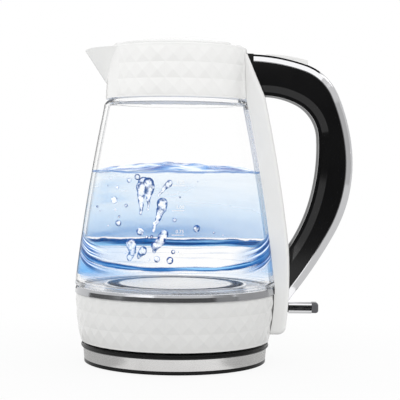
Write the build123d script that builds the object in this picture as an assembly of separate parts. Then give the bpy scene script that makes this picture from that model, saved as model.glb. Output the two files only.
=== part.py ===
from build123d import *
import os
from math import cos, radians, sin, sqrt

# Sizes are in millimetres. The origin lies on the table, on the axis of the jar.
# +Z is up, the spout points along -X and the handle along +X.

# Main sizes: the jar's radius at its foot and its shoulder, and its height between them
GLASS_R = 76.0
GLASS_TOP_R = 55.3
JAR_HEIGHT = 132.2

# Clearances
RUN_FIT = 0.05  # radial play of a pin or a hub in the bore where it turns
SEAT_FIT = 0.1  # play of a piece that is fixed in another
REST_GAP = 0.3  # gap under a piece that stands or lies on another
PASS_GAP = 0.4  # gap between pieces that move past one another

# Screws
SCREW_R = 1.25
SCREW_HEAD_R = 2.6
SCREW_HEAD = 1.2
SCREW_BOSS_R = 3.4

# Power base
FOOT_PROUD = 0.6
FOOT_DEPTH = 1.0
FOOT_RING_INSET = 14.1
FOOT_RING_WIDTH = 6.0
BASE_FLOOR = 2.7
BASE_INSET = 4.9
BASE_LOWER_INSET = 2.3
BAND_INSET = 1.5
BASE_RIM = 3.9
BASE_DECK = 2.2
RIM_BEVEL = 0.8
UPSTAND_WALL = 1.6
BAND_TAPER = 0.7
BAND_WALL = 1.3
BAND_HEIGHT = 8.4
BASE_SCREW_COUNT = 3
BASE_SCREW_TURN = 30.0
BASE_SCREW_INSET = 31.1
GLAND_BORE_R = 2.6
GLAND_WALL = 0.8
GLAND_PROUD = 0.5
GLAND_FLANGE = 1.6

# Swivelling connector
PEDESTAL_R = 14.0
PEDESTAL_WALL = 4.0
PEDESTAL_HEIGHT = 5.4
FLANGE_R = 20.0
FLANGE = 2.5
HUB_R = 16.0
POST_R = 9.5
POST_HEIGHT = 17.1
POST_FLOOR = 2.0
WELL_R = 5.2
EARTH_PIN_R = 2.2
EARTH_PIN_SHORT = 2.0
RING_WALL = 0.5
RING_HEIGHT = 3.0
LIVE_RING_RISE = 5.0
RING_PITCH = 6.0

# Skirt and bottom cover
SKIRT_RISE = 0.8
SKIRT_HEIGHT = 36.1
SKIRT_INSET = 0.3
SKIRT_MIDDLE_INSET = 1.1
SKIRT_FOOT_INSET = 4.3
SKIRT_WALL = 2.5
LEDGE = 2.5
LEDGE_WIDTH = 11.0
COVER_WALL = 2.2
COVER_RIM = 5.0
COVER_SCREW_COUNT = 3
COVER_SCREW_TURN = 60.0
COVER_SCREW_LENGTH = 10.0

# Jar, its seat and the heater
SEAT_RING_HEIGHT = 4.8
SEAT_RING_BULGE = 0.4
SEAT_RING_FACE = 3.1
SEAT_RING_WAIST = 0.05
SEAT_RING_BEVEL = 0.5
PLATE = 1.0
PLATE_RISE = 1.0
PLATE_DISC = 1.2
PLATE_DISC_INSET = 22.0
PLATE_DISC_RISE = 4.5
GASKET = 1.5
GLASS_WALL = 3.0
GLASS_CORNER = 1.6
GLASS_INNER_CORNER = 2.5
GLASS_BULGE = 1.5
GLASS_SHOULDER = 5.8
GLASS_FOOT_INSET = 4.1
NECK_HEIGHT = 8.8
SPREADER = 2.4
SPREADER_INSET = 1.2
ELEMENT_INSET = 14.0
ELEMENT_R = 3.3
ELEMENT_ARC = 300.0
COLD_PIN_R = 2.0
COLD_PIN_LENGTH = 8.0

# Control under the heater
SOCKET_GAP = 0.6
SOCKET_HEADROOM = 2.0
SOCKET_WALL = 2.2
CONTROL_R = 27.0
CONTROL_RISE = 5.8
CONTROL_HEIGHT = 20.0
CONTROL_POST_R = 3.0
CONTROL_POST_RING_R = 20.0
CONTROL_POST_COUNT = 3
CONTROL_POST_TURN = 60.0
CONTACT_WIDTH = 4.0
CONTACT_DEPTH = 3.6
EARTH_SOCKET_WALL = 1.3
EARTH_SOCKET_LENGTH = 10.0
BIMETAL = 0.4
BIMETAL_R = 8.0

# Collar, spout and filter
COLLAR_SEAM = 0.4
COLLAR_HEIGHT = 38.8
COLLAR_STEP = 4.6
COLLAR_TAPER = 1.7
COLLAR_WALL = 2.5
COLLAR_ROUND = 1.2
SHELF = 2.4
SHELF_DROP = 2.4
MOUTH_INSET = 14.4
COLLAR_LEDGE = 2.4
COLLAR_LEDGE_WIDTH = 6.0
NECK_GASKET = 1.5
SPOUT_WALL = 2.2
SPOUT_RIM_DROP = 1.0
SPOUT_HEIGHT = 26.1
SPOUT_FLOOR = 3.0
SPOUT_KEEL_REACH = 0.3
SPOUT_KEEL_CREASE = 5.5
SPOUT_KEEL_NOSE = 1.0
SPOUT_KEEL_SHARE = 0.305
SPOUT_RIM_REACH = 12.4
SPOUT_RIM_CREASE = 12.7
SPOUT_RIM_NOSE = 6.1
SPOUT_RIM_SHARE = 0.62
SPOUT_LIP_LENGTH = 11.5
SPOUT_LIP_DROP = 1.9
FILTER_HALF = 14.0
FILTER_FRAME = 2.6
FILTER_DEPTH = 2.2
FILTER_INSET = 4.8
MESH = 0.6
MESH_HOLE_R = 0.6
MESH_PITCH = 2.2

# Lid and its hinge
LID_GAP = 0.6
LID_SIDE = 3.66
LID_DOME_R = 250.0
LID_WALL = 2.2
LID_EDGE_ROUND = 1.2
LID_REAR_INSET = 5.8
LINER = 1.6
PLUG_GAP = 2.0
PLUG_WALL = 2.0
PLUG_DEPTH = 7.0
SEAL_HEIGHT = 2.0
SEAL_RISE = 1.7
SEAL_GAP = 0.3
HINGE_INSET = 7.1
HINGE_DROP = 0.4
BARREL_R = 4.8
BARREL_HALF = 12.0
EAR = 4.6
EAR_R = 3.6
HINGE_PIN_R = 1.25
HINGE_FLOOR = 2.4
LID_SPRING_HALF = 4.8
LID_SPRING_R = 3.2

# Spine behind the jar
SPINE_HALF = 17.0
SPINE_WALL = 2.2
SPINE_GAP = 0.35
SPINE_ROUND = 3.0
SPINE_CAP = 8.6
SPINE_TOP_STEP = (-0.1, -4.8)
SPINE_SHOULDER_STEP = (10.5, 2.3)
SPINE_WAIST_STEP = (11.25, 18.5)
SPINE_BELLY_STEP = (9.0, 28.7)
SPINE_HIP_STEP = (9.6, 2.4)
SPINE_ANKLE_STEP = (7.6, 12.6)
SPINE_HEEL_STEP = (6.0, 7.8)
SPINE_FOOT_STEP = (1.6, 5.6)
LINER_WALL = 1.5
STEAM_TUBE_R = 2.3
STEAM_TUBE_BORE_R = 1.5
STEAM_TUBE_TOP_STEP = (5.3, 5.4)
STEAM_TUBE_MIDDLE_STEP = (-5.3, -1.0)
STEAM_TUBE_LOW_STEP = 1.5
STEAM_PORT_R = 2.5
STEAM_PORT_DROP = 19.4

# Power lever and steam switch
LEVER_DROP = 11.5
LEVER_DEPTH = 3.0
LEVER_PIN_R = 1.2
LEVER_BARREL_R = 2.6
LEVER_BARREL_HALF = 6.8
LEVER_RIB = 2.2
LEVER_HALF = 6.0
LEVER_HEIGHT = 8.6
LEVER_NECK = 6.9
LEVER_LENGTH = 17.5
LEVER_TIP = 5.3
LEVER_ROUND = 2.4
LEVER_TIP_STEP = 0.4
LEVER_SWING = 12.0
LEVER_FINGER = 2.2
LEVER_FINGER_LENGTH = 7.8
TONGUE_HALF = 4.0
TONGUE_HEIGHT = 4.8
TONGUE_LENGTH = 15.0
SWITCH_HALF = 9.0
SWITCH_HEIGHT = 6.0
SWITCH_DEPTH = 5.7
STEAM_BIMETAL = 0.5

# Handle
HANDLE_HALF = 13.0
HANDLE_OUTER_STEPS = [(0.0, -4.2), (44.0, -11.4), (68.6, -33.9), (66.35, 36.4), (43.3, 40.1), (11.2, -3.4)]
HANDLE_INNER_STEPS = [(10.2, 3.5), (35.1, -2.5), (40.95, 45.8), (35.85, -2.6)]
HANDLE_BEVEL = 7.5
HANDLE_BEVEL_SIDE = 4.0
HANDLE_LAP = 9.0  # how far the outlines run on inside the spine before they are cut to it
TRIM_DEPTH = 5.8
TRIM_WALL = 1.3
TRIM_CHEEK = 2.5
TRIM_START = 4.6
TRIM_BEVEL = 2.6
TRIM_BEVEL_SIDE = 5.2
TRIM_ROUND = 3.2
GRIP_DEPTH = 4.0
GRIP_HALF = 8.2
HANDLE_SCREW_INSET = 4.0
HANDLE_SCREW_LENGTH = 12.0
HANDLE_SCREW_DROP = 26.4
HANDLE_SCREW_RISE = 10.4

# Lid button and latch
BUTTON_TRAVEL = 2.5
BUTTON_HALF = 6.7
BUTTON_FRONT_STEP = (14.3, -4.0)
BUTTON_CROWN_STEP = (30.6, -5.2)
BUTTON_REAR_STEP = (45.7, -8.4)
BUTTON_DROP = 16.9
BUTTON_ROOF = 1.8
BUTTON_SPRING_R = 1.4
BUTTON_SPRING_WALL = 0.5
BUTTON_SPRING_LENGTH = 9.5
BUTTON_SPRING_STEP = 9.3
LATCH_HALF = 3.0
LATCH_BAR = 3.0
LATCH_NOSE_STEP = 4.0
LATCH_NOSE_DROP = 9.2
LATCH_RISER = 10.7
LATCH_REACH = 37.2
LATCH_BLOCK = 3.1
LATCH_WEDGE_HEIGHT = 3.4

# Radii and heights that follow from the jar and from the stack of pieces
BASE_R = GLASS_R - BASE_INSET
BASE_LOWER_R = BASE_R - BASE_LOWER_INSET
BAND_R = BASE_R - BAND_INSET
FOOT_RING_R = BASE_R - FOOT_RING_INSET
SKIRT_TOP_R = GLASS_R - SKIRT_INSET
SKIRT_MIDDLE_R = SKIRT_TOP_R - SKIRT_MIDDLE_INSET
SKIRT_BOTTOM_R = SKIRT_TOP_R - SKIRT_FOOT_INSET
PLATE_DISC_R = GLASS_R - PLATE_DISC_INSET
ELEMENT_RING_R = PLATE_DISC_R - ELEMENT_INSET
FLOOR_Z = FOOT_PROUD + BASE_FLOOR
BAND_TOP_Z = FLOOR_Z + BAND_HEIGHT
BAND_BORE_R = BAND_R - BAND_TAPER - BAND_WALL
UPSTAND_R = BAND_BORE_R - SEAT_FIT
DECK_Z = BAND_TOP_Z + BASE_RIM
DECK_UNDER_Z = DECK_Z - BASE_DECK
GLAND_Z = (FLOOR_Z + BAND_TOP_Z) / 2
PEDESTAL_Z = FLOOR_Z + PEDESTAL_HEIGHT
FLANGE_Z = PEDESTAL_Z + SEAT_FIT
HUB_Z = FLANGE_Z + FLANGE
POST_Z = DECK_Z + POST_HEIGHT
KETTLE_Z = DECK_Z + REST_GAP
SKIRT_Z = KETTLE_Z + SKIRT_RISE
SKIRT_TOP_Z = SKIRT_Z + SKIRT_HEIGHT
COVER_TOP_Z = KETTLE_Z + COVER_WALL
PLATE_Z = SKIRT_TOP_Z + PLATE_RISE
GLASS_FOOT_R = GLASS_R - GLASS_FOOT_INSET
GLASS_FOOT_Z = PLATE_Z + PLATE + GASKET
SEAT_RING_TOP_Z = SKIRT_TOP_Z + SEAT_RING_HEIGHT
GLASS_Z = SEAT_RING_TOP_Z + REST_GAP
GLASS_TOP_Z = GLASS_Z + GLASS_CORNER + JAR_HEIGHT
NECK_R = GLASS_TOP_R - GLASS_SHOULDER
SHOULDER_Z = GLASS_TOP_Z + GLASS_SHOULDER
NECK_TOP_Z = SHOULDER_Z + NECK_HEIGHT
DISC_UNDER_Z = PLATE_Z + PLATE_DISC_RISE - PLATE_DISC / 2
SPREADER_Z = DISC_UNDER_Z - SPREADER
SOCKET_R = POST_R + RING_WALL + SOCKET_GAP
SOCKET_TOP_Z = POST_Z + SOCKET_HEADROOM
CONTROL_Z = KETTLE_Z + CONTROL_RISE
CONTROL_TOP_Z = CONTROL_Z + CONTROL_HEIGHT
NOSE_R = SOCKET_R + SOCKET_WALL
COLLAR_BOTTOM_R = NECK_R + COLLAR_STEP
COLLAR_TOP_R = COLLAR_BOTTOM_R - COLLAR_TAPER
COLLAR_Z = SHOULDER_Z + COLLAR_SEAM
COLLAR_TOP_Z = COLLAR_Z + COLLAR_HEIGHT
MOUTH_R = COLLAR_TOP_R - MOUTH_INSET
PLUG_R = MOUTH_R - PLUG_GAP
COLLAR_BORE_R = NECK_R + NECK_GASKET + 2 * SEAT_FIT
COLLAR_LEDGE_Z = NECK_TOP_Z + NECK_GASKET + SEAT_FIT
COLLAR_FLOOR_Z = COLLAR_LEDGE_Z + COLLAR_LEDGE
SHELF_TOP_Z = COLLAR_TOP_Z - SHELF_DROP
SHELF_Z = SHELF_TOP_Z - SHELF
LIP_R = COLLAR_TOP_R - COLLAR_ROUND - SEAT_FIT - 0.3
LID_R = LIP_R - LID_GAP
LID_Z = SHELF_TOP_Z + REST_GAP
LID_TOP_Z = LID_Z + LID_SIDE + LID_R**2 / (2 * LID_DOME_R)
LINER_R = LID_R - LID_WALL - REST_GAP
PLUG_Z = LID_Z - PLUG_DEPTH
HINGE_X = COLLAR_TOP_R - HINGE_INSET
HINGE_Z = SHELF_TOP_Z - HINGE_DROP
LID_REAR_X = HINGE_X - LID_REAR_INSET
EAR_Y = BARREL_HALF + PASS_GAP
SPOUT_RIM_Z = COLLAR_TOP_Z - SPOUT_RIM_DROP
SPOUT_KEEL_Z = SPOUT_RIM_Z - SPOUT_HEIGHT
SPOUT_KEEL_HALF = SPOUT_KEEL_SHARE * COLLAR_TOP_R
SPOUT_RIM_HALF = SPOUT_RIM_SHARE * COLLAR_TOP_R
FILTER_X = FILTER_INSET - COLLAR_TOP_R
STEAM_PORT_Z = COLLAR_TOP_Z - STEAM_PORT_DROP
LEVER_X = GLASS_R + LEVER_DEPTH
LEVER_Z = SKIRT_TOP_Z - LEVER_DROP
LEVER_START_X = LEVER_X + LEVER_NECK
LEVER_TIP_X = LEVER_START_X + LEVER_LENGTH
LEVER_END_X = LEVER_TIP_X + LEVER_TIP
BUTTON_BOTTOM_Z = COLLAR_TOP_Z - BUTTON_DROP
LATCH_NOSE_X = HINGE_X + LATCH_NOSE_STEP
LATCH_NOSE_Z = COLLAR_TOP_Z - LATCH_NOSE_DROP
LATCH_RISER_X = LATCH_NOSE_X + LATCH_RISER
LATCH_WEDGE_X = LATCH_NOSE_X + LATCH_REACH
TRIM_START_X = COLLAR_TOP_R + TRIM_START
HANDLE_SCREW_TOP_Z = COLLAR_TOP_Z - HANDLE_SCREW_DROP
HANDLE_SCREW_LOW_Z = GLASS_Z + HANDLE_SCREW_RISE
LATCH_Z = BUTTON_BOTTOM_Z - BUTTON_TRAVEL - SEAT_FIT
POCKET_Z = LATCH_Z - PASS_GAP
BAR_TOP_Z = LATCH_Z + LATCH_BAR
SWITCH_Z = LEVER_Z + LEVER_FINGER_LENGTH + STEAM_BIMETAL + PASS_GAP + REST_GAP


# Points of the outlines seen from the side
MIDDLE_R = (GLASS_R + GLASS_TOP_R) / 2
MIDDLE_Z = (GLASS_Z + GLASS_TOP_Z) / 2


def beside(r, z, step):
    """A point that lies a step away from a radius and a height."""
    return (r + step[0], z + step[1])


SPINE_TOP = beside(COLLAR_TOP_R, COLLAR_TOP_Z, SPINE_TOP_STEP)
SPINE_SHOULDER = beside(GLASS_TOP_R, COLLAR_Z, SPINE_SHOULDER_STEP)
SPINE_WAIST = beside(MIDDLE_R, MIDDLE_Z, SPINE_WAIST_STEP)
SPINE_BELLY = beside(GLASS_R, GLASS_Z, SPINE_BELLY_STEP)
SPINE_HIP = beside(GLASS_R, GLASS_Z, SPINE_HIP_STEP)
SPINE_ANKLE = beside(GLASS_R, SKIRT_Z, SPINE_ANKLE_STEP)
SPINE_HEEL = beside(GLASS_R, SKIRT_Z, SPINE_HEEL_STEP)
SPINE_FOOT = beside(GLASS_R, SKIRT_Z, SPINE_FOOT_STEP)
SPINE_HOLLOW_TOP = SPINE_TOP[1] - SPINE_CAP
STEAM_TUBE_TOP = beside(COLLAR_BOTTOM_R, COLLAR_Z, STEAM_TUBE_TOP_STEP)
STEAM_TUBE_MIDDLE = beside(*SPINE_WAIST, STEAM_TUBE_MIDDLE_STEP)
STEAM_TUBE_LOW_X = LEVER_X + STEAM_TUBE_LOW_STEP
BUTTON_FRONT = beside(COLLAR_TOP_R, COLLAR_TOP_Z, BUTTON_FRONT_STEP)
BUTTON_CROWN = beside(COLLAR_TOP_R, COLLAR_TOP_Z, BUTTON_CROWN_STEP)
BUTTON_REAR = beside(COLLAR_TOP_R, COLLAR_TOP_Z, BUTTON_REAR_STEP)
BUTTON_SPRING_X = BUTTON_FRONT[0] + BUTTON_SPRING_STEP
HANDLE_TOP_MARKS = [(COLLAR_TOP_R, COLLAR_TOP_Z)] * 3
HANDLE_LOW_MARKS = [(MIDDLE_R, MIDDLE_Z), (GLASS_R, GLASS_Z), (GLASS_R, SKIRT_TOP_Z)]
FINGER_MARKS = [(GLASS_TOP_R, COLLAR_Z)] * 2 + [(MIDDLE_R, MIDDLE_Z)] * 2
HANDLE_OUTER = [beside(*m, step) for m, step in zip(HANDLE_TOP_MARKS + HANDLE_LOW_MARKS, HANDLE_OUTER_STEPS)]
HANDLE_INNER = [beside(*m, step) for m, step in zip(FINGER_MARKS, HANDLE_INNER_STEPS)] + [SPINE_BELLY]


def at(x, z):
    """A point of the plane through the spout and the handle."""
    return Vector(x, 0, z)


def outline(points):
    """The straight edges of a closed outline in that plane."""
    corners = [at(x, z) for x, z in points]
    return [Line(a, b) for a, b in zip(corners, corners[1:] + corners[:1])]


def turned(edges):
    """A body turned about the axis of the jar."""
    return revolve(make_face(edges), Axis.Z)


def ring(inner_r, outer_r, low, high):
    return turned(outline([(inner_r, low), (outer_r, low), (outer_r, high), (inner_r, high)]))


def rod(r, low, high, x=0.0, y=0.0):
    """An upright round bar."""
    return Pos(x, y, (low + high) / 2) * Cylinder(r, high - low)


def cross_rod(r, half, x, z):
    """A round bar that lies across the kettle."""
    return Pos(x, 0, z) * Rot(90, 0, 0) * Cylinder(r, 2 * half)


def block(x0, x1, half, z0, z1):
    """A box that reaches equally far to both sides."""
    return Pos((x0 + x1) / 2, 0, (z0 + z1) / 2) * Box(x1 - x0, 2 * half, z1 - z0)


def slab(edges, half):
    """A flat-sided body with the given outline, equally thick to both sides."""
    return extrude(make_face(edges), amount=half, dir=(0, 1, 0), both=True)


def round_spots(count, radius, start=0.0):
    """Points spread evenly around the axis of the jar."""
    angles = [radians(start + 360 * k / count) for k in range(count)]
    return [(radius * cos(a), radius * sin(a)) for a in angles]


def both_sides(y):
    return (y, -y)


def screw(place, direction, grip, length):
    """A screw whose head lies on the near side of a wall and whose shank runs on from there."""
    head = Pos(0, 0, -SCREW_HEAD / 2) * Cylinder(SCREW_HEAD_R, SCREW_HEAD)
    shank = Pos(0, 0, (grip + length) / 2) * Cylinder(SCREW_R, grip + length)
    return Plane(origin=place, z_dir=direction) * (head + shank)


def screw_hole(place, direction, grip, length):
    """The way for a screw's shank, a little wider and longer than the shank."""
    depth = grip + length + 1
    return Plane(origin=place, z_dir=direction) * (
        Pos(0, 0, depth / 2) * Cylinder(SCREW_R + SEAT_FIT, depth)
    )


# Power base

BASE_SCREW_SPOTS = round_spots(BASE_SCREW_COUNT, BASE_R - BASE_SCREW_INSET, BASE_SCREW_TURN)
HEAD_SEAT_Z = FOOT_PROUD + SCREW_HEAD + SEAT_FIT


def gland_way(r):
    """The round way of the cord through the back of the base."""
    return Pos(0, BAND_R, GLAND_Z) * Rot(90, 0, 0) * Cylinder(r, 4 * (BAND_WALL + UPSTAND_WALL))


def base_foot_ring():
    inner_r = FOOT_RING_R - FOOT_RING_WIDTH / 2
    return ring(inner_r, inner_r + FOOT_RING_WIDTH, 0, FOOT_PROUD + FOOT_DEPTH)


def base_lower_cover():
    cover = rod(BASE_LOWER_R, FOOT_PROUD, FLOOR_Z)
    cover += ring(UPSTAND_R - UPSTAND_WALL, UPSTAND_R, FLOOR_Z, BAND_TOP_Z)
    cover += ring(PEDESTAL_R - PEDESTAL_WALL, PEDESTAL_R, FLOOR_Z, PEDESTAL_Z)
    inner_r = FOOT_RING_R - FOOT_RING_WIDTH / 2 - SEAT_FIT
    outer_r = FOOT_RING_R + FOOT_RING_WIDTH / 2 + SEAT_FIT
    cover -= ring(inner_r, outer_r, 0, FOOT_PROUD + FOOT_DEPTH)
    for x, y in BASE_SCREW_SPOTS:
        cover -= rod(SCREW_HEAD_R + SEAT_FIT, 0, HEAD_SEAT_Z, x, y)
        cover -= rod(SCREW_R + SEAT_FIT, 0, FLOOR_Z + SEAT_FIT, x, y)
    return cover - gland_way(GLAND_BORE_R + GLAND_WALL + SEAT_FIT)


def base_trim_band():
    low_r = BAND_R - BAND_TAPER
    band = turned(
        outline([(BAND_BORE_R, FLOOR_Z), (low_r, FLOOR_Z), (BAND_R, BAND_TOP_Z), (BAND_BORE_R, BAND_TOP_Z)])
    )
    return band - gland_way(GLAND_BORE_R + GLAND_WALL + SEAT_FIT)


def base_top_cover():
    """The black deck with its two-stepped rim and the collar in which the connector turns."""
    bore_r = HUB_R + RUN_FIT
    step_z = BAND_TOP_Z + BASE_RIM * 0.55
    rim_r = BASE_R - RIM_BEVEL / 2
    cover = turned(
        outline(
            [
                (bore_r, DECK_Z),
                (rim_r - RIM_BEVEL, DECK_Z),
                (rim_r, DECK_Z - RIM_BEVEL),
                (rim_r, step_z),
                (BASE_R, step_z - RIM_BEVEL / 2),
                (BASE_R, BAND_TOP_Z + RIM_BEVEL),
                (BASE_R - RIM_BEVEL, BAND_TOP_Z),
                (UPSTAND_R - UPSTAND_WALL, BAND_TOP_Z),
                (UPSTAND_R - UPSTAND_WALL, DECK_UNDER_Z),
                (FLANGE_R + PASS_GAP, DECK_UNDER_Z),
                (FLANGE_R + PASS_GAP, HUB_Z + SEAT_FIT),
                (bore_r, HUB_Z + SEAT_FIT),
            ]
        )
    )
    for x, y in BASE_SCREW_SPOTS:
        cover += rod(SCREW_BOSS_R, FLOOR_Z, DECK_UNDER_Z, x, y)
        cover -= rod(SCREW_R + SEAT_FIT, FLOOR_Z, DECK_UNDER_Z - SEAT_FIT, x, y)
    return cover


def base_screws():
    length = DECK_UNDER_Z - HEAD_SEAT_Z - 1
    return [screw((x, y, HEAD_SEAT_Z), (0, 0, 1), 0, length) for x, y in BASE_SCREW_SPOTS]


def cord_gland():
    """A short sleeve with a flange behind the base wall."""
    outer_y = BAND_R + GLAND_PROUD
    inner_y = UPSTAND_R - UPSTAND_WALL - GLAND_FLANGE - SEAT_FIT
    sleeve_r = GLAND_BORE_R + GLAND_WALL
    sleeve = Pos(0, (inner_y + outer_y) / 2, GLAND_Z) * Rot(90, 0, 0) * Cylinder(sleeve_r, outer_y - inner_y)
    flange = Pos(0, inner_y + GLAND_FLANGE / 2, GLAND_Z) * Box(4 * sleeve_r, GLAND_FLANGE, 2 * sleeve_r)
    bore = Pos(0, outer_y, GLAND_Z) * Rot(90, 0, 0) * Cylinder(GLAND_BORE_R, 4 * (outer_y - inner_y))
    wall = rod(UPSTAND_R - UPSTAND_WALL - SEAT_FIT, FLOOR_Z, BAND_TOP_Z)
    return sleeve + (flange & wall) - bore


# Swivelling connector


def connector_post():
    hole_r = EARTH_PIN_R + RUN_FIT
    well_z = DECK_Z + POST_FLOOR
    post = turned(
        outline(
            [
                (hole_r, FLANGE_Z),
                (FLANGE_R, FLANGE_Z),
                (FLANGE_R, HUB_Z),
                (HUB_R, HUB_Z),
                (HUB_R, DECK_Z),
                (POST_R, DECK_Z),
                (POST_R, POST_Z),
                (WELL_R, POST_Z),
                (WELL_R, well_z),
                (hole_r, well_z),
            ]
        )
    )
    for number in range(2):
        low = DECK_Z + LIVE_RING_RISE + number * RING_PITCH
        post -= ring(POST_R - RING_WALL, POST_R + RING_WALL, low, low + RING_HEIGHT)
    return post


def connector_earth_pin():
    top_z = POST_Z - EARTH_PIN_SHORT
    pin = rod(EARTH_PIN_R, FLANGE_Z, top_z)
    return fillet(pin.edges().group_by(Axis.Z)[-1], EARTH_PIN_R * 0.6)


def connector_ring(number):
    low = DECK_Z + LIVE_RING_RISE + number * RING_PITCH
    return ring(POST_R - RING_WALL, POST_R + RING_WALL, low, low + RING_HEIGHT)


# Skirt and bottom cover

COVER_R = SKIRT_BOTTOM_R - SKIRT_WALL - REST_GAP
COVER_SCREW_RING_R = COVER_R - SCREW_BOSS_R - 2 * SKIRT_WALL
COVER_SCREW_SPOTS = round_spots(COVER_SCREW_COUNT, COVER_SCREW_RING_R, COVER_SCREW_TURN)
COVER_HEAD_Z = KETTLE_Z + SCREW_HEAD + SEAT_FIT


def skirt_curve(inset):
    """The hollow-sided skirt's line from its foot to its top edge."""
    middle_z = SKIRT_Z + 0.46 * SKIRT_HEIGHT
    return ThreePointArc(
        at(SKIRT_BOTTOM_R - inset, SKIRT_Z),
        at(SKIRT_MIDDLE_R - inset, middle_z),
        at(SKIRT_TOP_R - inset, SKIRT_TOP_Z),
    )


def lower_skirt():
    outside = skirt_curve(0)
    inside = skirt_curve(SKIRT_WALL)
    skirt = turned([outside, Line(outside @ 1, inside @ 1), inside, Line(inside @ 0, outside @ 0)])
    step_z = SKIRT_TOP_Z - PLATE_RISE
    ledge_r = SKIRT_TOP_R - SKIRT_WALL
    ledge_inner_r = ledge_r - LEDGE_WIDTH
    skirt += ring(ledge_inner_r, ledge_r + SEAT_FIT, step_z - LEDGE, step_z)
    skirt += ring(ledge_inner_r, GLASS_FOOT_R, step_z, PLATE_Z)
    for x, y in COVER_SCREW_SPOTS:
        skirt += rod(SCREW_BOSS_R, COVER_TOP_Z, step_z - LEDGE, x, y)
        skirt -= rod(SCREW_R + SEAT_FIT, COVER_TOP_Z, step_z - 2 * LEDGE, x, y)
    return skirt


def bottom_cover():
    hole_r = NOSE_R + REST_GAP
    rim_inner_r = COVER_R - SKIRT_WALL
    cover = turned(
        outline(
            [
                (hole_r, KETTLE_Z),
                (COVER_R, KETTLE_Z),
                (COVER_R, KETTLE_Z + COVER_RIM),
                (rim_inner_r, KETTLE_Z + COVER_RIM),
                (rim_inner_r, COVER_TOP_Z),
                (hole_r, COVER_TOP_Z),
            ]
        )
    )
    for x, y in COVER_SCREW_SPOTS:
        cover -= rod(SCREW_HEAD_R + SEAT_FIT, KETTLE_Z, COVER_HEAD_Z, x, y)
        cover -= rod(SCREW_R + SEAT_FIT, KETTLE_Z, COVER_TOP_Z, x, y)
    return cover


def bottom_cover_screws():
    grip = COVER_TOP_Z - COVER_HEAD_Z
    return [screw((x, y, COVER_HEAD_Z), (0, 0, 1), grip, COVER_SCREW_LENGTH) for x, y in COVER_SCREW_SPOTS]


# Jar, its seat and the heater


def glass_seat_ring():
    """The polished ring under the jar: a face that leans back a little, with a bevel above it."""
    inner_r = GLASS_FOOT_R + REST_GAP
    return turned(
        outline(
            [
                (inner_r, SKIRT_TOP_Z),
                (SKIRT_TOP_R + SEAT_RING_BULGE, SKIRT_TOP_Z),
                (SKIRT_TOP_R + SEAT_RING_WAIST, SKIRT_TOP_Z + SEAT_RING_FACE),
                (SKIRT_TOP_R - SEAT_RING_BEVEL, SEAT_RING_TOP_Z),
                (inner_r, SEAT_RING_TOP_Z),
            ]
        )
    )


def jar_curve(inset, low_z):
    """The slightly bulging line of the jar from its foot to its shoulder."""
    low = at(GLASS_R - inset, low_z)
    top = at(GLASS_TOP_R - inset, GLASS_TOP_Z)
    rise = top - low
    outward = Vector(rise.Z, 0, -rise.X).normalized()
    return ThreePointArc(low, (low + top) / 2 + outward * GLASS_BULGE, top)


def quarter(centre, radius, start, end):
    """A quarter of a circle in the plane through the spout and the handle, angles in degrees."""
    points = []
    for angle in (start, (start + end) / 2, end):
        points.append(centre + Vector(radius * cos(radians(angle)), 0, radius * sin(radians(angle))))
    return ThreePointArc(*points)


def glass_jar():
    foot_inner_r = GLASS_FOOT_R - GLASS_WALL
    corner_z = GLASS_Z + GLASS_CORNER
    inner_z = corner_z + GLASS_INNER_CORNER
    inner_r = GLASS_R - GLASS_WALL
    corner = quarter(at(GLASS_R - GLASS_CORNER, corner_z), GLASS_CORNER, -90, 0)
    outside = jar_curve(0, corner_z)
    shoulder = quarter(at(NECK_R, GLASS_TOP_Z), GLASS_SHOULDER, 0, 90)
    shoulder_inside = quarter(at(NECK_R, GLASS_TOP_Z), GLASS_SHOULDER - GLASS_WALL, 90, 0)
    inside = jar_curve(GLASS_WALL, inner_z)
    corner_inside = quarter(at(inner_r - GLASS_INNER_CORNER, inner_z), GLASS_INNER_CORNER, 0, -90)
    neck_inner_r = NECK_R - GLASS_WALL
    neck = [at(NECK_R, NECK_TOP_Z), at(neck_inner_r, NECK_TOP_Z), at(neck_inner_r, SHOULDER_Z - GLASS_WALL)]
    foot = [at(foot_inner_r, corner_z), at(foot_inner_r, GLASS_FOOT_Z), at(GLASS_FOOT_R, GLASS_FOOT_Z)]
    edges = [
        corner,
        outside,
        shoulder,
        Polyline(shoulder @ 1, *neck, shoulder_inside @ 0),
        shoulder_inside,
        inside,
        corner_inside,
        Polyline(corner_inside @ 1, *foot, at(GLASS_FOOT_R, GLASS_Z), corner @ 0),
    ]
    return turned(edges)


def jar_base_gasket():
    return ring(GLASS_FOOT_R - GLASS_WALL, GLASS_FOOT_R, PLATE_Z + PLATE, GLASS_FOOT_Z)


def element_plate():
    """Stainless plate: a flange under the gasket and a raised disc over the heater."""
    inner_r = PLATE_DISC_R - PLATE_DISC
    disc_top_z = DISC_UNDER_Z + PLATE_DISC
    return turned(
        outline(
            [
                (0, DISC_UNDER_Z),
                (inner_r, DISC_UNDER_Z),
                (inner_r, PLATE_Z),
                (GLASS_FOOT_R, PLATE_Z),
                (GLASS_FOOT_R, PLATE_Z + PLATE),
                (PLATE_DISC_R, PLATE_Z + PLATE),
                (PLATE_DISC_R, disc_top_z),
                (0, disc_top_z),
            ]
        )
    )


def heat_spreader():
    return rod(PLATE_DISC_R - PLATE_DISC - SPREADER_INSET, SPREADER_Z, DISC_UNDER_Z)


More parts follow.
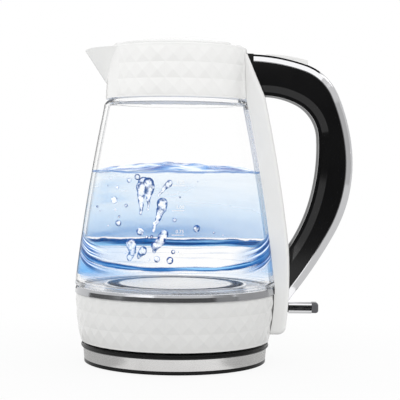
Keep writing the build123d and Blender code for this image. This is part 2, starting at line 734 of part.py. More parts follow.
def heating_element():
    """An open ring of sheathed tube, with a cold pin down from each end."""
    centre_z = SPREADER_Z - SEAT_FIT / 2 - ELEMENT_R
    section = Plane.XZ * Pos(ELEMENT_RING_R, centre_z) * Circle(ELEMENT_R)
    coil = Rot(0, 0, (360 - ELEMENT_ARC) / 2) * revolve(section, Axis.Z, ELEMENT_ARC)
    for side in (1, -1):
        angle = radians(side * ((360 - ELEMENT_ARC) / 2 + 4))
        x = ELEMENT_RING_R * cos(angle)
        y = ELEMENT_RING_R * sin(angle)
        coil += rod(COLD_PIN_R, centre_z - COLD_PIN_LENGTH, centre_z, x, y)
    return coil


# Control under the heater

CONTROL_SPOTS = round_spots(CONTROL_POST_COUNT, CONTROL_POST_RING_R, CONTROL_POST_TURN)


def contact_spots():
    """The heights of the two line contacts, with the side on which each one stands."""
    first_z = DECK_Z + LIVE_RING_RISE + RING_HEIGHT / 2
    return [(first_z, 1), (first_z + RING_PITCH, -1)]


def line_contact(height, side, play):
    inner_y = POST_R + RING_WALL + REST_GAP
    centre_y = inner_y + CONTACT_DEPTH / 2
    size = (CONTACT_WIDTH + 2 * play, CONTACT_DEPTH + 2 * play, RING_HEIGHT + 2 * play)
    return Pos(0, side * centre_y, height) * Box(*size)


def control_body():
    body = rod(CONTROL_R, CONTROL_Z, CONTROL_TOP_Z)
    body += rod(NOSE_R, KETTLE_Z + REST_GAP, CONTROL_Z)
    body -= rod(SOCKET_R, KETTLE_Z, SOCKET_TOP_Z)
    for x, y in CONTROL_SPOTS:
        body += rod(CONTROL_POST_R, CONTROL_TOP_Z, SPREADER_Z, x, y)
    body += rod(CONTROL_POST_R, CONTROL_TOP_Z, SPREADER_Z - BIMETAL)
    for height, side in contact_spots():
        body -= line_contact(height, side, SEAT_FIT)
    return body


def line_contacts():
    return [line_contact(height, side, 0) for height, side in contact_spots()]


def earth_socket():
    inner_r = EARTH_PIN_R + REST_GAP
    return ring(inner_r, inner_r + EARTH_SOCKET_WALL, SOCKET_TOP_Z - EARTH_SOCKET_LENGTH, SOCKET_TOP_Z)


def dry_boil_bimetal():
    return rod(BIMETAL_R, SPREADER_Z - BIMETAL, SPREADER_Z)


# Collar with spout, gasket and filter


def collar_radius(z):
    """The outside radius of the collar at a height."""
    share = (z - COLLAR_Z) / COLLAR_HEIGHT
    return COLLAR_BOTTOM_R + (COLLAR_TOP_R - COLLAR_BOTTOM_R) * share


def spout_section(share, inset, back_x):
    """A level section through the beak, from its keel at share 0 to its rim at share 1."""

    def between(low, high):
        return low + (high - low) * share

    z = between(SPOUT_KEEL_Z, SPOUT_RIM_Z)
    half = between(SPOUT_KEEL_HALF, SPOUT_RIM_HALF)
    seat_r = collar_radius(z) - SPOUT_WALL / 2
    side_x = -sqrt(seat_r**2 - half**2)
    side_y = half - 1.3 * inset
    crease_x = 0.9 * inset - COLLAR_TOP_R - between(SPOUT_KEEL_REACH, SPOUT_RIM_REACH)
    crease_y = between(SPOUT_KEEL_CREASE, SPOUT_RIM_CREASE) - 0.6 * inset
    nose_x = crease_x - between(SPOUT_KEEL_NOSE, SPOUT_RIM_NOSE) + 0.3 * inset
    left = [Vector(back_x, side_y, z), Vector(side_x, side_y, z), Vector(crease_x, crease_y, z)]
    right = [Vector(p.X, -p.Y, p.Z) for p in reversed(left)]
    edges = [Line(a, b) for a, b in zip(left, left[1:])]
    edges.append(ThreePointArc(left[-1], Vector(nose_x, 0, z), right[0]))
    edges += [Line(a, b) for a, b in zip(right, right[1:])]
    edges.append(Line(right[-1], left[0]))
    return make_face(edges)


def spout_lip_dip():
    """The hollow over the tip of the beak, where its rim curves down to the pouring lip."""
    tip_x = -COLLAR_TOP_R - SPOUT_RIM_REACH - SPOUT_RIM_NOSE
    start = at(tip_x + SPOUT_LIP_LENGTH, SPOUT_RIM_Z)
    middle = at(tip_x + SPOUT_LIP_LENGTH / 2, SPOUT_RIM_Z - SPOUT_LIP_DROP / 4)
    tip = at(tip_x - 1, SPOUT_RIM_Z - 1.2 * SPOUT_LIP_DROP)
    corner = at(tip_x - 1, SPOUT_RIM_Z)
    return slab([ThreePointArc(start, middle, tip), Line(tip, corner), Line(corner, start)], SPOUT_RIM_HALF)


def spout_bodies():
    """The outside of the beak and the channel through it."""
    back_x = -SPOUT_RIM_HALF
    floor_share = SPOUT_FLOOR / (SPOUT_RIM_Z - SPOUT_KEEL_Z)
    rim = spout_section(1, 0, back_x)
    outside = loft([spout_section(0, 0, back_x), rim], ruled=True) - spout_lip_dip()
    above = 1 + 2 * floor_share
    channel = loft(
        [spout_section(floor_share, SPOUT_WALL, back_x), spout_section(above, SPOUT_WALL, back_x)], ruled=True
    )
    return outside, channel


def latch_way():
    """The way of the latch's nose from the handle to the lid's hinge."""
    low_z = LATCH_NOSE_Z - PASS_GAP
    high_z = LATCH_NOSE_Z + LATCH_BAR + PASS_GAP
    return block(LATCH_NOSE_X - PASS_GAP, LATCH_RISER_X, LATCH_HALF + PASS_GAP, low_z, high_z)


def collar_ring():
    wall_low_r = collar_radius(COLLAR_FLOOR_Z) - COLLAR_WALL
    wall_top_r = collar_radius(SHELF_Z) - COLLAR_WALL
    round_z = COLLAR_TOP_Z - COLLAR_ROUND
    round_r = collar_radius(round_z)
    edge = quarter(at(round_r - COLLAR_ROUND, round_z), COLLAR_ROUND, 0, 90)
    inside = [
        at(LIP_R, COLLAR_TOP_Z),
        at(LIP_R, SHELF_TOP_Z),
        at(MOUTH_R, SHELF_TOP_Z),
        at(MOUTH_R, SHELF_Z),
        at(wall_top_r, SHELF_Z),
        at(wall_low_r, COLLAR_FLOOR_Z),
        at(COLLAR_BORE_R - COLLAR_LEDGE_WIDTH, COLLAR_FLOOR_Z),
        at(COLLAR_BORE_R - COLLAR_LEDGE_WIDTH, COLLAR_LEDGE_Z),
        at(COLLAR_BORE_R, COLLAR_LEDGE_Z),
        at(COLLAR_BORE_R, COLLAR_Z),
        at(COLLAR_BOTTOM_R, COLLAR_Z),
    ]
    return turned([edge, Polyline(edge @ 1, *inside, edge @ 0)])


def hinge_seat():
    """The trough under the lid's barrel and the two ears that hold the hinge pin."""
    pocket_r = BARREL_R + PASS_GAP
    low_z = HINGE_Z - pocket_r - HINGE_FLOOR
    rear_x = sqrt(LIP_R**2 - (EAR_Y + EAR / 2) ** 2)
    seat = block(MOUTH_R + 1, rear_x + COLLAR_WALL / 2, EAR_Y + EAR / 2, low_z, SHELF_TOP_Z)
    seat -= cross_rod(pocket_r, EAR_Y, HINGE_X, HINGE_Z)
    for y in both_sides(EAR_Y + EAR / 2):
        ear = cross_rod(EAR_R, EAR / 2, HINGE_X, HINGE_Z)
        ear += block(HINGE_X - EAR_R, HINGE_X + EAR_R, EAR / 2, SHELF_Z, HINGE_Z)
        seat += Pos(0, y, 0) * ear
    return seat


def upper_collar():
    outside, channel = spout_bodies()
    core = rod(collar_radius(SPOUT_RIM_Z) - COLLAR_WALL / 2, COLLAR_Z, LID_TOP_Z)
    collar = collar_ring() + (outside - core - channel)
    window = block(-2 * COLLAR_TOP_R, 0, SPOUT_RIM_HALF, SPOUT_KEEL_Z, SHELF_Z)
    collar -= channel & window
    collar -= cross_rod(BARREL_R + PASS_GAP, EAR_Y, HINGE_X, HINGE_Z)
    collar += hinge_seat()
    collar -= cross_rod(HINGE_PIN_R + SEAT_FIT / 10, EAR_Y + EAR, HINGE_X, HINGE_Z)
    collar -= latch_way()
    port_x = collar_radius(STEAM_PORT_Z)
    port = Pos(port_x, 0, STEAM_PORT_Z) * Rot(0, 90, 0) * Cylinder(STEAM_PORT_R, 4 * COLLAR_WALL)
    return collar - port


def collar_gasket():
    """A silicone ring over the rim of the jar's neck, with a sleeve down its outside."""
    sleeve_inner_r = NECK_R + SEAT_FIT
    sleeve_outer_r = COLLAR_BORE_R - SEAT_FIT
    top_z = COLLAR_LEDGE_Z - SEAT_FIT / 2
    return turned(
        outline(
            [
                (sleeve_inner_r, SHOULDER_Z + NECK_GASKET),
                (sleeve_outer_r, SHOULDER_Z + NECK_GASKET),
                (sleeve_outer_r, top_z),
                (NECK_R - GLASS_WALL, top_z),
                (NECK_R - GLASS_WALL, NECK_TOP_Z + SEAT_FIT / 2),
                (sleeve_inner_r, NECK_TOP_Z + SEAT_FIT / 2),
            ]
        )
    )


def filter_opening(play):
    """The inside of the filter's frame."""
    half = FILTER_HALF - FILTER_FRAME - play
    low = COLLAR_FLOOR_Z + FILTER_FRAME + play
    high = SHELF_Z - REST_GAP - FILTER_FRAME - play
    return half, low, high


def spout_filter_frame():
    half, low, high = filter_opening(0)
    frame = block(FILTER_X, FILTER_X + FILTER_DEPTH, FILTER_HALF, COLLAR_FLOOR_Z, SHELF_Z - REST_GAP)
    return frame - block(FILTER_X - 1, FILTER_X + FILTER_DEPTH + 1, half, low, high)


def spout_filter_mesh():
    """A thin sheet with rows of round holes, held in the frame."""
    half, low, high = filter_opening(SEAT_FIT)
    middle_x = FILTER_X + FILTER_DEPTH / 2
    sheet = block(middle_x - MESH / 2, middle_x + MESH / 2, half, low, high)
    columns = int(2 * (half - MESH_PITCH / 2) / MESH_PITCH)
    rows = int((high - low - MESH_PITCH) / MESH_PITCH)
    grid = GridLocations(MESH_PITCH, MESH_PITCH, rows, columns)
    plane = Plane(origin=(middle_x, 0, (low + high) / 2), x_dir=(0, 0, 1), z_dir=(1, 0, 0))
    holes = [plane * spot * Cylinder(MESH_HOLE_R, 4 * MESH) for spot in grid.locations]
    return sheet - holes


# Lid and its hinge


def dome_height(r, depth):
    """The height of the lid's dome at a radius, that far under its outside."""
    return LID_TOP_Z - depth - r**2 / (2 * LID_DOME_R)


def dome_curve(r, depth):
    return ThreePointArc(*[at(x, dome_height(x, depth)) for x in (0, r / 2, r)])


def lid_dome():
    """The solid form of the lid's outside."""
    edge_r = LID_R - LID_EDGE_ROUND
    curve = dome_curve(edge_r, 0)
    edge_z = dome_height(edge_r, 0) - LID_EDGE_ROUND
    edge = Line(curve @ 1, at(LID_R, edge_z))
    rest = Polyline(at(LID_R, edge_z), at(LID_R, LID_Z), at(0, LID_Z), curve @ 0)
    return turned([curve, edge, rest])


def lid_cap():
    """The domed shell, with a straight rear wall and the barrel of its hinge."""
    inner_r = LID_R - LID_WALL
    ceiling = dome_curve(inner_r, LID_WALL)
    floor_z = LID_Z - LID_WALL
    hollow = turned([ceiling, Polyline(ceiling @ 1, at(inner_r, floor_z), at(0, floor_z), ceiling @ 0)])
    dome = lid_dome()
    behind = block(LID_REAR_X, LID_REAR_X + LID_R, LID_R, LID_Z - LID_WALL, LID_TOP_Z)
    rear_wall = block(LID_REAR_X - LID_WALL, LID_REAR_X, LID_R, LID_Z, LID_TOP_Z)
    cap = dome - hollow - behind
    cap += dome & rear_wall
    crown_z = HINGE_Z + BARREL_R - LID_EDGE_ROUND
    neck_top_z = dome_height(LID_REAR_X, LID_EDGE_ROUND)
    start_x = LID_REAR_X - LID_WALL / 2
    low_z = LID_Z + SEAT_FIT
    neck = outline([(start_x, low_z), (HINGE_X, low_z), (HINGE_X, crown_z), (start_x, neck_top_z)])
    cap += slab(neck, BARREL_HALF) + cross_rod(BARREL_R, BARREL_HALF, HINGE_X, HINGE_Z)
    cap -= cross_rod(HINGE_PIN_R + RUN_FIT, BARREL_HALF + 1, HINGE_X, HINGE_Z)
    cap -= cross_rod(LID_SPRING_R + PASS_GAP / 2, LID_SPRING_HALF + PASS_GAP / 2, HINGE_X, HINGE_Z)
    return cap


def lid_liner():
    """The plate under the cap, with a cup that plugs the mouth."""
    plate_z = LID_Z + PASS_GAP / 2
    plug_inner_r = PLUG_R - PLUG_WALL
    liner = turned(
        outline(
            [
                (0, PLUG_Z),
                (PLUG_R, PLUG_Z),
                (PLUG_R, plate_z),
                (LINER_R, plate_z),
                (LINER_R, plate_z + LINER),
                (plug_inner_r, plate_z + LINER),
                (plug_inner_r, PLUG_Z + PLUG_WALL),
                (0, PLUG_Z + PLUG_WALL),
            ]
        )
    )
    front_x = LID_REAR_X - LID_WALL - SEAT_FIT
    return liner - block(front_x, front_x + LID_R, LID_R, PLUG_Z - 1, LID_TOP_Z)


def lid_seal():
    low = PLUG_Z + SEAL_RISE
    return ring(PLUG_R, MOUTH_R - SEAL_GAP, low, low + SEAL_HEIGHT)


def lid_hinge_pin():
    return cross_rod(HINGE_PIN_R, EAR_Y + EAR, HINGE_X, HINGE_Z)


def lid_spring():
    bore = cross_rod(HINGE_PIN_R + SEAT_FIT, LID_SPRING_HALF + 1, HINGE_X, HINGE_Z)
    return cross_rod(LID_SPRING_R, LID_SPRING_HALF, HINGE_X, HINGE_Z) - bore


# Spine behind the jar


def envelope(gap):
    """The outside of skirt, jar and collar, all that much wider, as one solid to cut with."""
    skirt = skirt_curve(-gap)
    jar = jar_curve(-gap, GLASS_Z + GLASS_CORNER)
    lower_r = SKIRT_TOP_R + SEAT_RING_BULGE + gap
    upper_z = SPINE_TOP[1] + SPINE_WALL
    edges = [
        Polyline(at(0, upper_z), at(0, 0), at(SKIRT_BOTTOM_R + gap, 0), skirt @ 0),
        skirt,
        Polyline(skirt @ 1, at(lower_r, SKIRT_TOP_Z), at(lower_r, GLASS_Z), jar @ 0),
        jar,
        Polyline(
            jar @ 1,
            at(COLLAR_BOTTOM_R + gap, COLLAR_Z - SEAT_FIT),
            at(COLLAR_BOTTOM_R + gap, COLLAR_Z),
            at(collar_radius(upper_z) + gap, upper_z),
            at(0, upper_z),
        ),
    ]
    return turned(edges)


def spine_outline(inset):
    """The spine's outline from the side, drawn in by a wall, and running on deep inside the jar."""

    def drawn_in(point):
        return at(point[0] - 1.09 * inset, point[1])

    inner_x = MOUTH_R
    foot = at(SPINE_FOOT[0] - inset, SPINE_FOOT[1] + inset)
    heel = at(SPINE_HEEL[0] - inset, SPINE_HEEL[1] + inset)
    return [
        Line(at(inner_x, SPINE_TOP[1]), drawn_in(SPINE_TOP)),
        Line(drawn_in(SPINE_TOP), drawn_in(SPINE_SHOULDER)),
        ThreePointArc(drawn_in(SPINE_SHOULDER), drawn_in(SPINE_WAIST), drawn_in(SPINE_BELLY)),
        ThreePointArc(drawn_in(SPINE_BELLY), drawn_in(SPINE_HIP), drawn_in(SPINE_ANKLE)),
        ThreePointArc(drawn_in(SPINE_ANKLE), heel, foot),
        Line(foot, at(inner_x, foot.Z)),
        Line(at(inner_x, foot.Z), at(inner_x, SPINE_TOP[1])),
    ]


def spine_block(half):
    return slab(spine_outline(0), half)


def handle_screw_places():
    """The handle's screws: where each meets the inside of the spine's wall, and its direction."""
    slope = at(*SPINE_SHOULDER) - at(*SPINE_TOP)
    outward = Vector(-slope.Z, 0, slope.X).normalized()
    share = (SPINE_TOP[1] - HANDLE_SCREW_TOP_Z) / (SPINE_TOP[1] - SPINE_SHOULDER[1])
    top = at(*SPINE_TOP) + slope * share - outward * (SPINE_WALL + SEAT_FIT)
    low = at(SPINE_HIP[0] - 1.09 * SPINE_WALL - REST_GAP, HANDLE_SCREW_LOW_Z)
    places = []
    for y in both_sides(HANDLE_HALF - HANDLE_SCREW_INSET):
        places.append((top + Vector(0, y, 0), outward))
        places.append((low + Vector(0, y, 0), Vector(1, 0, 0)))
    return places


def lever_slot():
    """The slot in the spine's outer wall through which the lever swings."""
    drop = (SPINE_HIP[0] - LEVER_X) * sin(radians(LEVER_SWING)) + LEVER_HEIGHT * 0.1
    low = LEVER_Z - LEVER_HEIGHT / 2 - drop - PASS_GAP
    high = LEVER_Z + LEVER_HEIGHT / 2 + PASS_GAP
    return block(LEVER_X + LEVER_BARREL_R, LEVER_END_X, LEVER_HALF + PASS_GAP, low, high)


def back_spine():
    """The white spine: a shell open towards the jar, with ribs that hold the lever's pin."""
    shell = spine_block(SPINE_HALF)
    side_edges = shell.edges().filter_by(lambda e: abs(abs(e.center().Y) - SPINE_HALF) < SEAT_FIT)
    rear_edges = side_edges.filter_by(lambda e: e.center().X > SPINE_TOP[0])
    shell = fillet(rear_edges.filter_by(lambda e: e.center().Z > SPINE_FOOT[1] + SEAT_FIT), SPINE_ROUND)
    hollow = slab(spine_outline(SPINE_WALL), SPINE_HALF - SPINE_WALL)
    hollow &= block(0, LEVER_END_X, SPINE_HALF, 0, SPINE_HOLLOW_TOP)
    shell -= hollow
    rib_y = LEVER_BARREL_HALF + PASS_GAP + LEVER_RIB / 2
    for y in both_sides(rib_y):
        rear_x = SPINE_HIP[0] - SPINE_WALL
        reach = 2 * LEVER_BARREL_R
        rib = block(LEVER_X - reach, rear_x, LEVER_RIB / 2, LEVER_Z - reach, LEVER_Z + reach)
        shell += Pos(0, y, 0) * rib
    shell -= lever_slot()
    shell -= cross_rod(LEVER_PIN_R + SEAT_FIT / 10, rib_y + LEVER_RIB, LEVER_X, LEVER_Z)
    shell -= latch_way()
    for place, direction in handle_screw_places():
        shell -= screw_hole(place, direction, SPINE_WALL, 1)
    return shell - envelope(SPINE_GAP)


def spine_liner():
    """A curved white strip that closes the spine towards the jar."""
    strip = envelope(SPINE_GAP + LINER_WALL) - envelope(SPINE_GAP)
    half = SPINE_HALF - SPINE_WALL - REST_GAP
    return strip & block(MOUTH_R, LEVER_END_X, half, GLASS_Z + GLASS_CORNER, GLASS_TOP_Z)


def steam_tube():
    """A soft tube that leads steam from the collar down to the switch."""
    low = at(STEAM_TUBE_LOW_X, SWITCH_Z + SWITCH_HEIGHT + REST_GAP)
    path = ThreePointArc(at(*STEAM_TUBE_TOP), at(*STEAM_TUBE_MIDDLE), low)
    section = Plane(origin=path @ 0, z_dir=path % 0) * (Circle(STEAM_TUBE_R) - Circle(STEAM_TUBE_BORE_R))
    return sweep(section, path)


def steam_switch_body():
    low_x = LEVER_X - SWITCH_DEPTH / 2 + REST_GAP
    body = block(low_x, low_x + SWITCH_DEPTH, SWITCH_HALF, SWITCH_Z, SWITCH_Z + SWITCH_HEIGHT)
    return body - rod(STEAM_TUBE_BORE_R, SWITCH_Z - 1, SWITCH_Z + SWITCH_HEIGHT + 1, STEAM_TUBE_LOW_X)


def steam_bimetal():
    low_x = LEVER_X - SWITCH_DEPTH / 2 + REST_GAP
    return block(low_x, low_x + SWITCH_DEPTH, SWITCH_HALF * 0.6, SWITCH_Z - STEAM_BIMETAL, SWITCH_Z)


# Power lever


def lever_pin():
    return cross_rod(LEVER_PIN_R, LEVER_BARREL_HALF + PASS_GAP + LEVER_RIB, LEVER_X, LEVER_Z)


def lever_rocker():
    """The barrel on its pin, the finger under the bimetal and the tongue inside the bar."""
    neck_half_z = TONGUE_HEIGHT / 2 + 0.8
    rocker = cross_rod(LEVER_BARREL_R, LEVER_BARREL_HALF, LEVER_X, LEVER_Z)
    rocker += block(LEVER_X, LEVER_START_X, TONGUE_HALF + 1, LEVER_Z - neck_half_z, LEVER_Z + neck_half_z)
    tongue_end_x = LEVER_START_X + TONGUE_LENGTH
    low = LEVER_Z - TONGUE_HEIGHT / 2
    rocker += block(LEVER_X, tongue_end_x, TONGUE_HALF, low, low + TONGUE_HEIGHT)
    finger_x = LEVER_X - LEVER_FINGER / 2
    rocker += block(finger_x, finger_x + LEVER_FINGER, TONGUE_HALF, LEVER_Z, LEVER_Z + LEVER_FINGER_LENGTH)
    return rocker - cross_rod(LEVER_PIN_R + RUN_FIT, LEVER_BARREL_HALF + 1, LEVER_X, LEVER_Z)


def lever_bar():
    low = LEVER_Z - LEVER_HEIGHT / 2
    bar = block(LEVER_START_X, LEVER_TIP_X, LEVER_HALF, low, low + LEVER_HEIGHT)
    bar = fillet(bar.edges().filter_by(Axis.X), LEVER_ROUND)
    way = block(
        LEVER_START_X - 1,
        LEVER_START_X + TONGUE_LENGTH + SEAT_FIT,
        TONGUE_HALF + SEAT_FIT,
        LEVER_Z - TONGUE_HEIGHT / 2 - SEAT_FIT,
        LEVER_Z + TONGUE_HEIGHT / 2 + SEAT_FIT,
    )
    return bar - way


def lever_tip():
    low = LEVER_Z - LEVER_HEIGHT / 2 + LEVER_TIP_STEP
    high = LEVER_Z + LEVER_HEIGHT / 2 - LEVER_TIP_STEP
    tip = block(LEVER_TIP_X, LEVER_END_X, LEVER_HALF - LEVER_TIP_STEP, low, high)
    tip = fillet(tip.edges().filter_by(Axis.X), LEVER_ROUND - LEVER_TIP_STEP)
    return fillet(tip.edges().group_by(Axis.X)[-1], LEVER_ROUND - LEVER_TIP_STEP)


# Handle


def arc_chain(points, inset):
    """Arcs that run smoothly through the points, level at first, moved towards the finger gap."""
    arcs = []
    tangent = Vector(1, 0, 0)
    for first, last in zip(points, points[1:]):
        arc = TangentArc(at(*first), at(*last), tangent=tangent)
        end_tangent = arc % 1
        start_point = at(*first) + Vector(tangent.Z, 0, -tangent.X) * inset
        end_point = at(*last) + Vector(end_tangent.Z, 0, -end_tangent.X) * inset
        arcs.append(TangentArc(start_point, end_point, tangent=tangent))
        tangent = end_tangent
    return arcs


def loop_between(outer, inner):
    """The edges of the region between two chains of arcs, whose ends run on inside the spine."""
    outer_start = outer[0] @ 0 - Vector(HANDLE_LAP, 0, 0)
    outer_end = outer[-1] @ 1 + (outer[-1] % 1) * HANDLE_LAP
    inner_start = inner[0] @ 0 - Vector(HANDLE_LAP, 0, 0)
    inner_end = inner[-1] @ 1 + (inner[-1] % 1) * HANDLE_LAP
    edges = outer + inner
    edges.append(Polyline(outer[0] @ 0, outer_start, inner_start, inner[0] @ 0))
    edges.append(Polyline(outer[-1] @ 1, outer_end, inner_end, inner[-1] @ 1))
    return edges


def cut_to_spine(body):
    """The part of a handle piece that stands outside the spine and the collar."""
    return body - slab(spine_outline(-SEAT_FIT), SPINE_HALF + 1) - envelope(SPINE_GAP)


def button_pocket():
    """The pocket for button and latch, and the wells for the button's springs."""
    play = BUTTON_HALF + PASS_GAP
    pocket = block(BUTTON_FRONT[0] - REST_GAP, BUTTON_REAR[0] + PASS_GAP, play, POCKET_Z, LID_TOP_Z)
    way_half = LATCH_HALF + PASS_GAP
    top_z = LATCH_NOSE_Z + LATCH_BAR + 2 * PASS_GAP
    pocket += block(LATCH_RISER_X - PASS_GAP, BUTTON_FRONT[0], way_half, POCKET_Z, top_z)
    pocket += block(LATCH_NOSE_X, LATCH_RISER_X, way_half, LATCH_NOSE_Z - PASS_GAP, top_z)
    for y in both_sides(button_spring_y()):
        low = BUTTON_BOTTOM_Z - BUTTON_SPRING_LENGTH
        pocket += rod(BUTTON_SPRING_R + PASS_GAP, low, POCKET_Z + 1, BUTTON_SPRING_X, y)
    return pocket


def button_spring_y():
    """The springs stand under the two cheeks of the button, beside the latch."""
    return (LATCH_HALF + PASS_GAP + BUTTON_HALF) / 2


def grip_edges(depth):
    return loop_between(arc_chain(HANDLE_INNER, -depth), arc_chain(HANDLE_INNER, 0))


def edges_beside(body, chain, half):
    """The edges of a slab that follow a chain of arcs, at half its width to both sides."""
    found = ShapeList()
    for arc in chain:
        for y in both_sides(half):
            found.append(body.edges().sort_by_distance(arc @ 0.5 + Vector(0, y, 0))[0])
    return found


def handle_body():
    """The black handle: bevelled towards the fingers, grooved for the grip, ribbed under the trim."""
    inner = arc_chain(HANDLE_INNER, 0)
    body = slab(loop_between(arc_chain(HANDLE_OUTER, TRIM_DEPTH + SEAT_FIT), inner), HANDLE_HALF)
    body = chamfer(edges_beside(body, inner, HANDLE_HALF), HANDLE_BEVEL, HANDLE_BEVEL_SIDE)
    rib_half = HANDLE_HALF - TRIM_CHEEK - SEAT_FIT
    body += slab(loop_between(arc_chain(HANDLE_OUTER, TRIM_WALL + SEAT_FIT), inner), rib_half) & block(
        TRIM_START_X, LEVER_END_X * 2, rib_half, 0, LID_TOP_Z
    )
    root = slab(loop_between(arc_chain(HANDLE_OUTER, 0), inner), HANDLE_HALF)
    body += root & block(0, TRIM_START_X - SEAT_FIT, HANDLE_HALF, SPINE_SHOULDER[1], LID_TOP_Z)
    groove = loop_between(arc_chain(HANDLE_INNER, -GRIP_DEPTH - SEAT_FIT), arc_chain(HANDLE_INNER, 1))
    body -= slab(groove, GRIP_HALF + SEAT_FIT)
    body = cut_to_spine(body) - button_pocket()
    for place, direction in handle_screw_places():
        body -= screw_hole(place, direction, SPINE_WALL, HANDLE_SCREW_LENGTH)
    return body


def handle_grip():
    return cut_to_spine(slab(grip_edges(GRIP_DEPTH), GRIP_HALF))


def handle_trim():
    """The bright strip along the back of the handle, a channel over the rib with sloping cheeks."""
    outer = arc_chain(HANDLE_OUTER, 0)
    strip = slab(loop_between(outer, arc_chain(HANDLE_OUTER, TRIM_DEPTH)), HANDLE_HALF)
    strip = chamfer(edges_beside(strip, outer, HANDLE_HALF), TRIM_BEVEL, TRIM_BEVEL_SIDE)
    strip = fillet(edges_beside(strip, outer, HANDLE_HALF - TRIM_BEVEL), TRIM_ROUND)
    channel = loop_between(arc_chain(HANDLE_OUTER, TRIM_WALL), arc_chain(HANDLE_OUTER, TRIM_DEPTH + 1))
    strip -= slab(channel, HANDLE_HALF - TRIM_CHEEK)
    strip -= block(0, TRIM_START_X, HANDLE_HALF + 1, SPINE_SHOULDER[1], LID_TOP_Z)
    return cut_to_spine(strip) - button_pocket()


def handle_screws():
    places = handle_screw_places()
    return [screw(place, direction, SPINE_WALL, HANDLE_SCREW_LENGTH) for place, direction in places]


# Lid button and latch


def wedge_x(z):
    """The latch's slope, which rises at 45 degrees away from the lid."""
    return LATCH_WEDGE_X + z - BAR_TOP_Z


def lid_button():
    """The white button: a curved top over two cheeks, with a wedge that drives the latch."""
    rear_x = BUTTON_REAR[0]
    crown = ThreePointArc(at(*BUTTON_FRONT), at(*BUTTON_CROWN), at(*BUTTON_REAR))
    sides = Polyline(crown @ 1, at(rear_x, BUTTON_BOTTOM_Z), at(BUTTON_FRONT[0], BUTTON_BOTTOM_Z), crown @ 0)
    button = slab([crown, sides], BUTTON_HALF)
    roof_z = BUTTON_REAR[1] - BUTTON_ROOF
    leg_z = BAR_TOP_Z + BUTTON_TRAVEL + PASS_GAP
    slack = REST_GAP * sqrt(2)
    leg_x = LATCH_WEDGE_X - 2 * LATCH_BAR
    groove = [
        (BUTTON_FRONT[0] - 1, BUTTON_BOTTOM_Z - 1),
        (rear_x - BUTTON_ROOF, BUTTON_BOTTOM_Z - 1),
        (rear_x - BUTTON_ROOF, roof_z),
        (wedge_x(roof_z) - slack, roof_z),
        (wedge_x(leg_z) - slack, leg_z),
        (leg_x, leg_z),
        (leg_x, roof_z),
        (BUTTON_FRONT[0] - 1, roof_z),
    ]
    return button - slab(outline(groove), LATCH_HALF + PASS_GAP)


def button_springs():
    """Two small springs under the button's cheeks, each drawn as a plain sleeve."""
    low = BUTTON_BOTTOM_Z - BUTTON_SPRING_LENGTH
    springs = []
    for y in both_sides(button_spring_y()):
        spring = rod(BUTTON_SPRING_R, low, BUTTON_BOTTOM_Z, BUTTON_SPRING_X, y)
        bore_r = BUTTON_SPRING_R - BUTTON_SPRING_WALL
        springs.append(spring - rod(bore_r, low, BUTTON_BOTTOM_Z, BUTTON_SPRING_X, y))
    return springs


def latch_bar():
    """The cranked latch: a nose towards the hinge, a riser, a bar under the button and its wedge."""
    top_z = BAR_TOP_Z + LATCH_WEDGE_HEIGHT
    end_x = wedge_x(top_z) + LATCH_BLOCK
    riser_end_x = LATCH_RISER_X + LATCH_BAR
    shape = [
        (LATCH_NOSE_X, LATCH_NOSE_Z),
        (LATCH_RISER_X, LATCH_NOSE_Z),
        (LATCH_RISER_X, LATCH_Z),
        (end_x, LATCH_Z),
        (end_x, top_z),
        (wedge_x(top_z), top_z),
        (LATCH_WEDGE_X, BAR_TOP_Z),
        (riser_end_x, BAR_TOP_Z),
        (riser_end_x, LATCH_NOSE_Z + LATCH_BAR),
        (LATCH_NOSE_X, LATCH_NOSE_Z + LATCH_BAR),
    ]
    return slab(outline(shape), LATCH_HALF)


PIECES = {
    "base_foot_ring": base_foot_ring,
    "base_lower_cover": base_lower_cover,
    "base_trim_band": base_trim_band,
    "base_top_cover": base_top_cover,
    "base_screws": base_screws,
    "cord_gland": cord_gland,
    "connector_post": connector_post,
    "connector_earth_pin": connector_earth_pin,
    "connector_live_ring": lambda: connector_ring(0),
    "connector_neutral_ring": lambda: connector_ring(1),
    "lower_skirt": lower_skirt,
    "bottom_cover": bottom_cover,
    "bottom_cover_screws": bottom_cover_screws,
    "glass_seat_ring": glass_seat_ring,
    "glass_jar": glass_jar,
    "jar_base_gasket": jar_base_gasket,
    "element_plate": element_plate,
    "heat_spreader": heat_spreader,
    "heating_element": heating_element,
    "control_body": control_body,
    "line_contacts": line_contacts,
    "earth_socket": earth_socket,
    "dry_boil_bimetal": dry_boil_bimetal,
    "upper_collar": upper_collar,
    "collar_gasket": collar_gasket,
    "spout_filter_frame": spout_filter_frame,
    "spout_filter_mesh": spout_filter_mesh,
    "lid_cap": lid_cap,
    "lid_liner": lid_liner,
    "lid_seal": lid_seal,
    "lid_hinge_pin": lid_hinge_pin,
    "lid_spring": lid_spring,
    "back_spine": back_spine,
    "spine_liner": spine_liner,
    "steam_tube": steam_tube,
    "steam_switch_body": steam_switch_body,
    "steam_bimetal": steam_bimetal,
    "lever_pin": lever_pin,
    "lever_rocker": lever_rocker,
    "lever_bar": lever_bar,
    "lever_tip": lever_tip,
    "handle_body": handle_body,
    "handle_grip": handle_grip,
    "handle_trim": handle_trim,
    "handle_screws": handle_screws,
    "lid_button": lid_button,
    "button_springs": button_springs,
    "latch_bar": latch_bar,
}


def solids_of(made):
    """The solids of a piece, whether it is one body or a group of alike ones."""
    bodies = made if isinstance(made, list) else [made]
    return [solid for body in bodies for solid in body.solids()]


os.makedirs("parts", exist_ok=True)
for name, make in PIECES.items():
    solids = solids_of(make())
    export_step(Compound(children=solids) if len(solids) > 1 else solids[0], f"parts/{name}.step")
    print(name, len(solids), round(sum(s.volume for s in solids), 1))
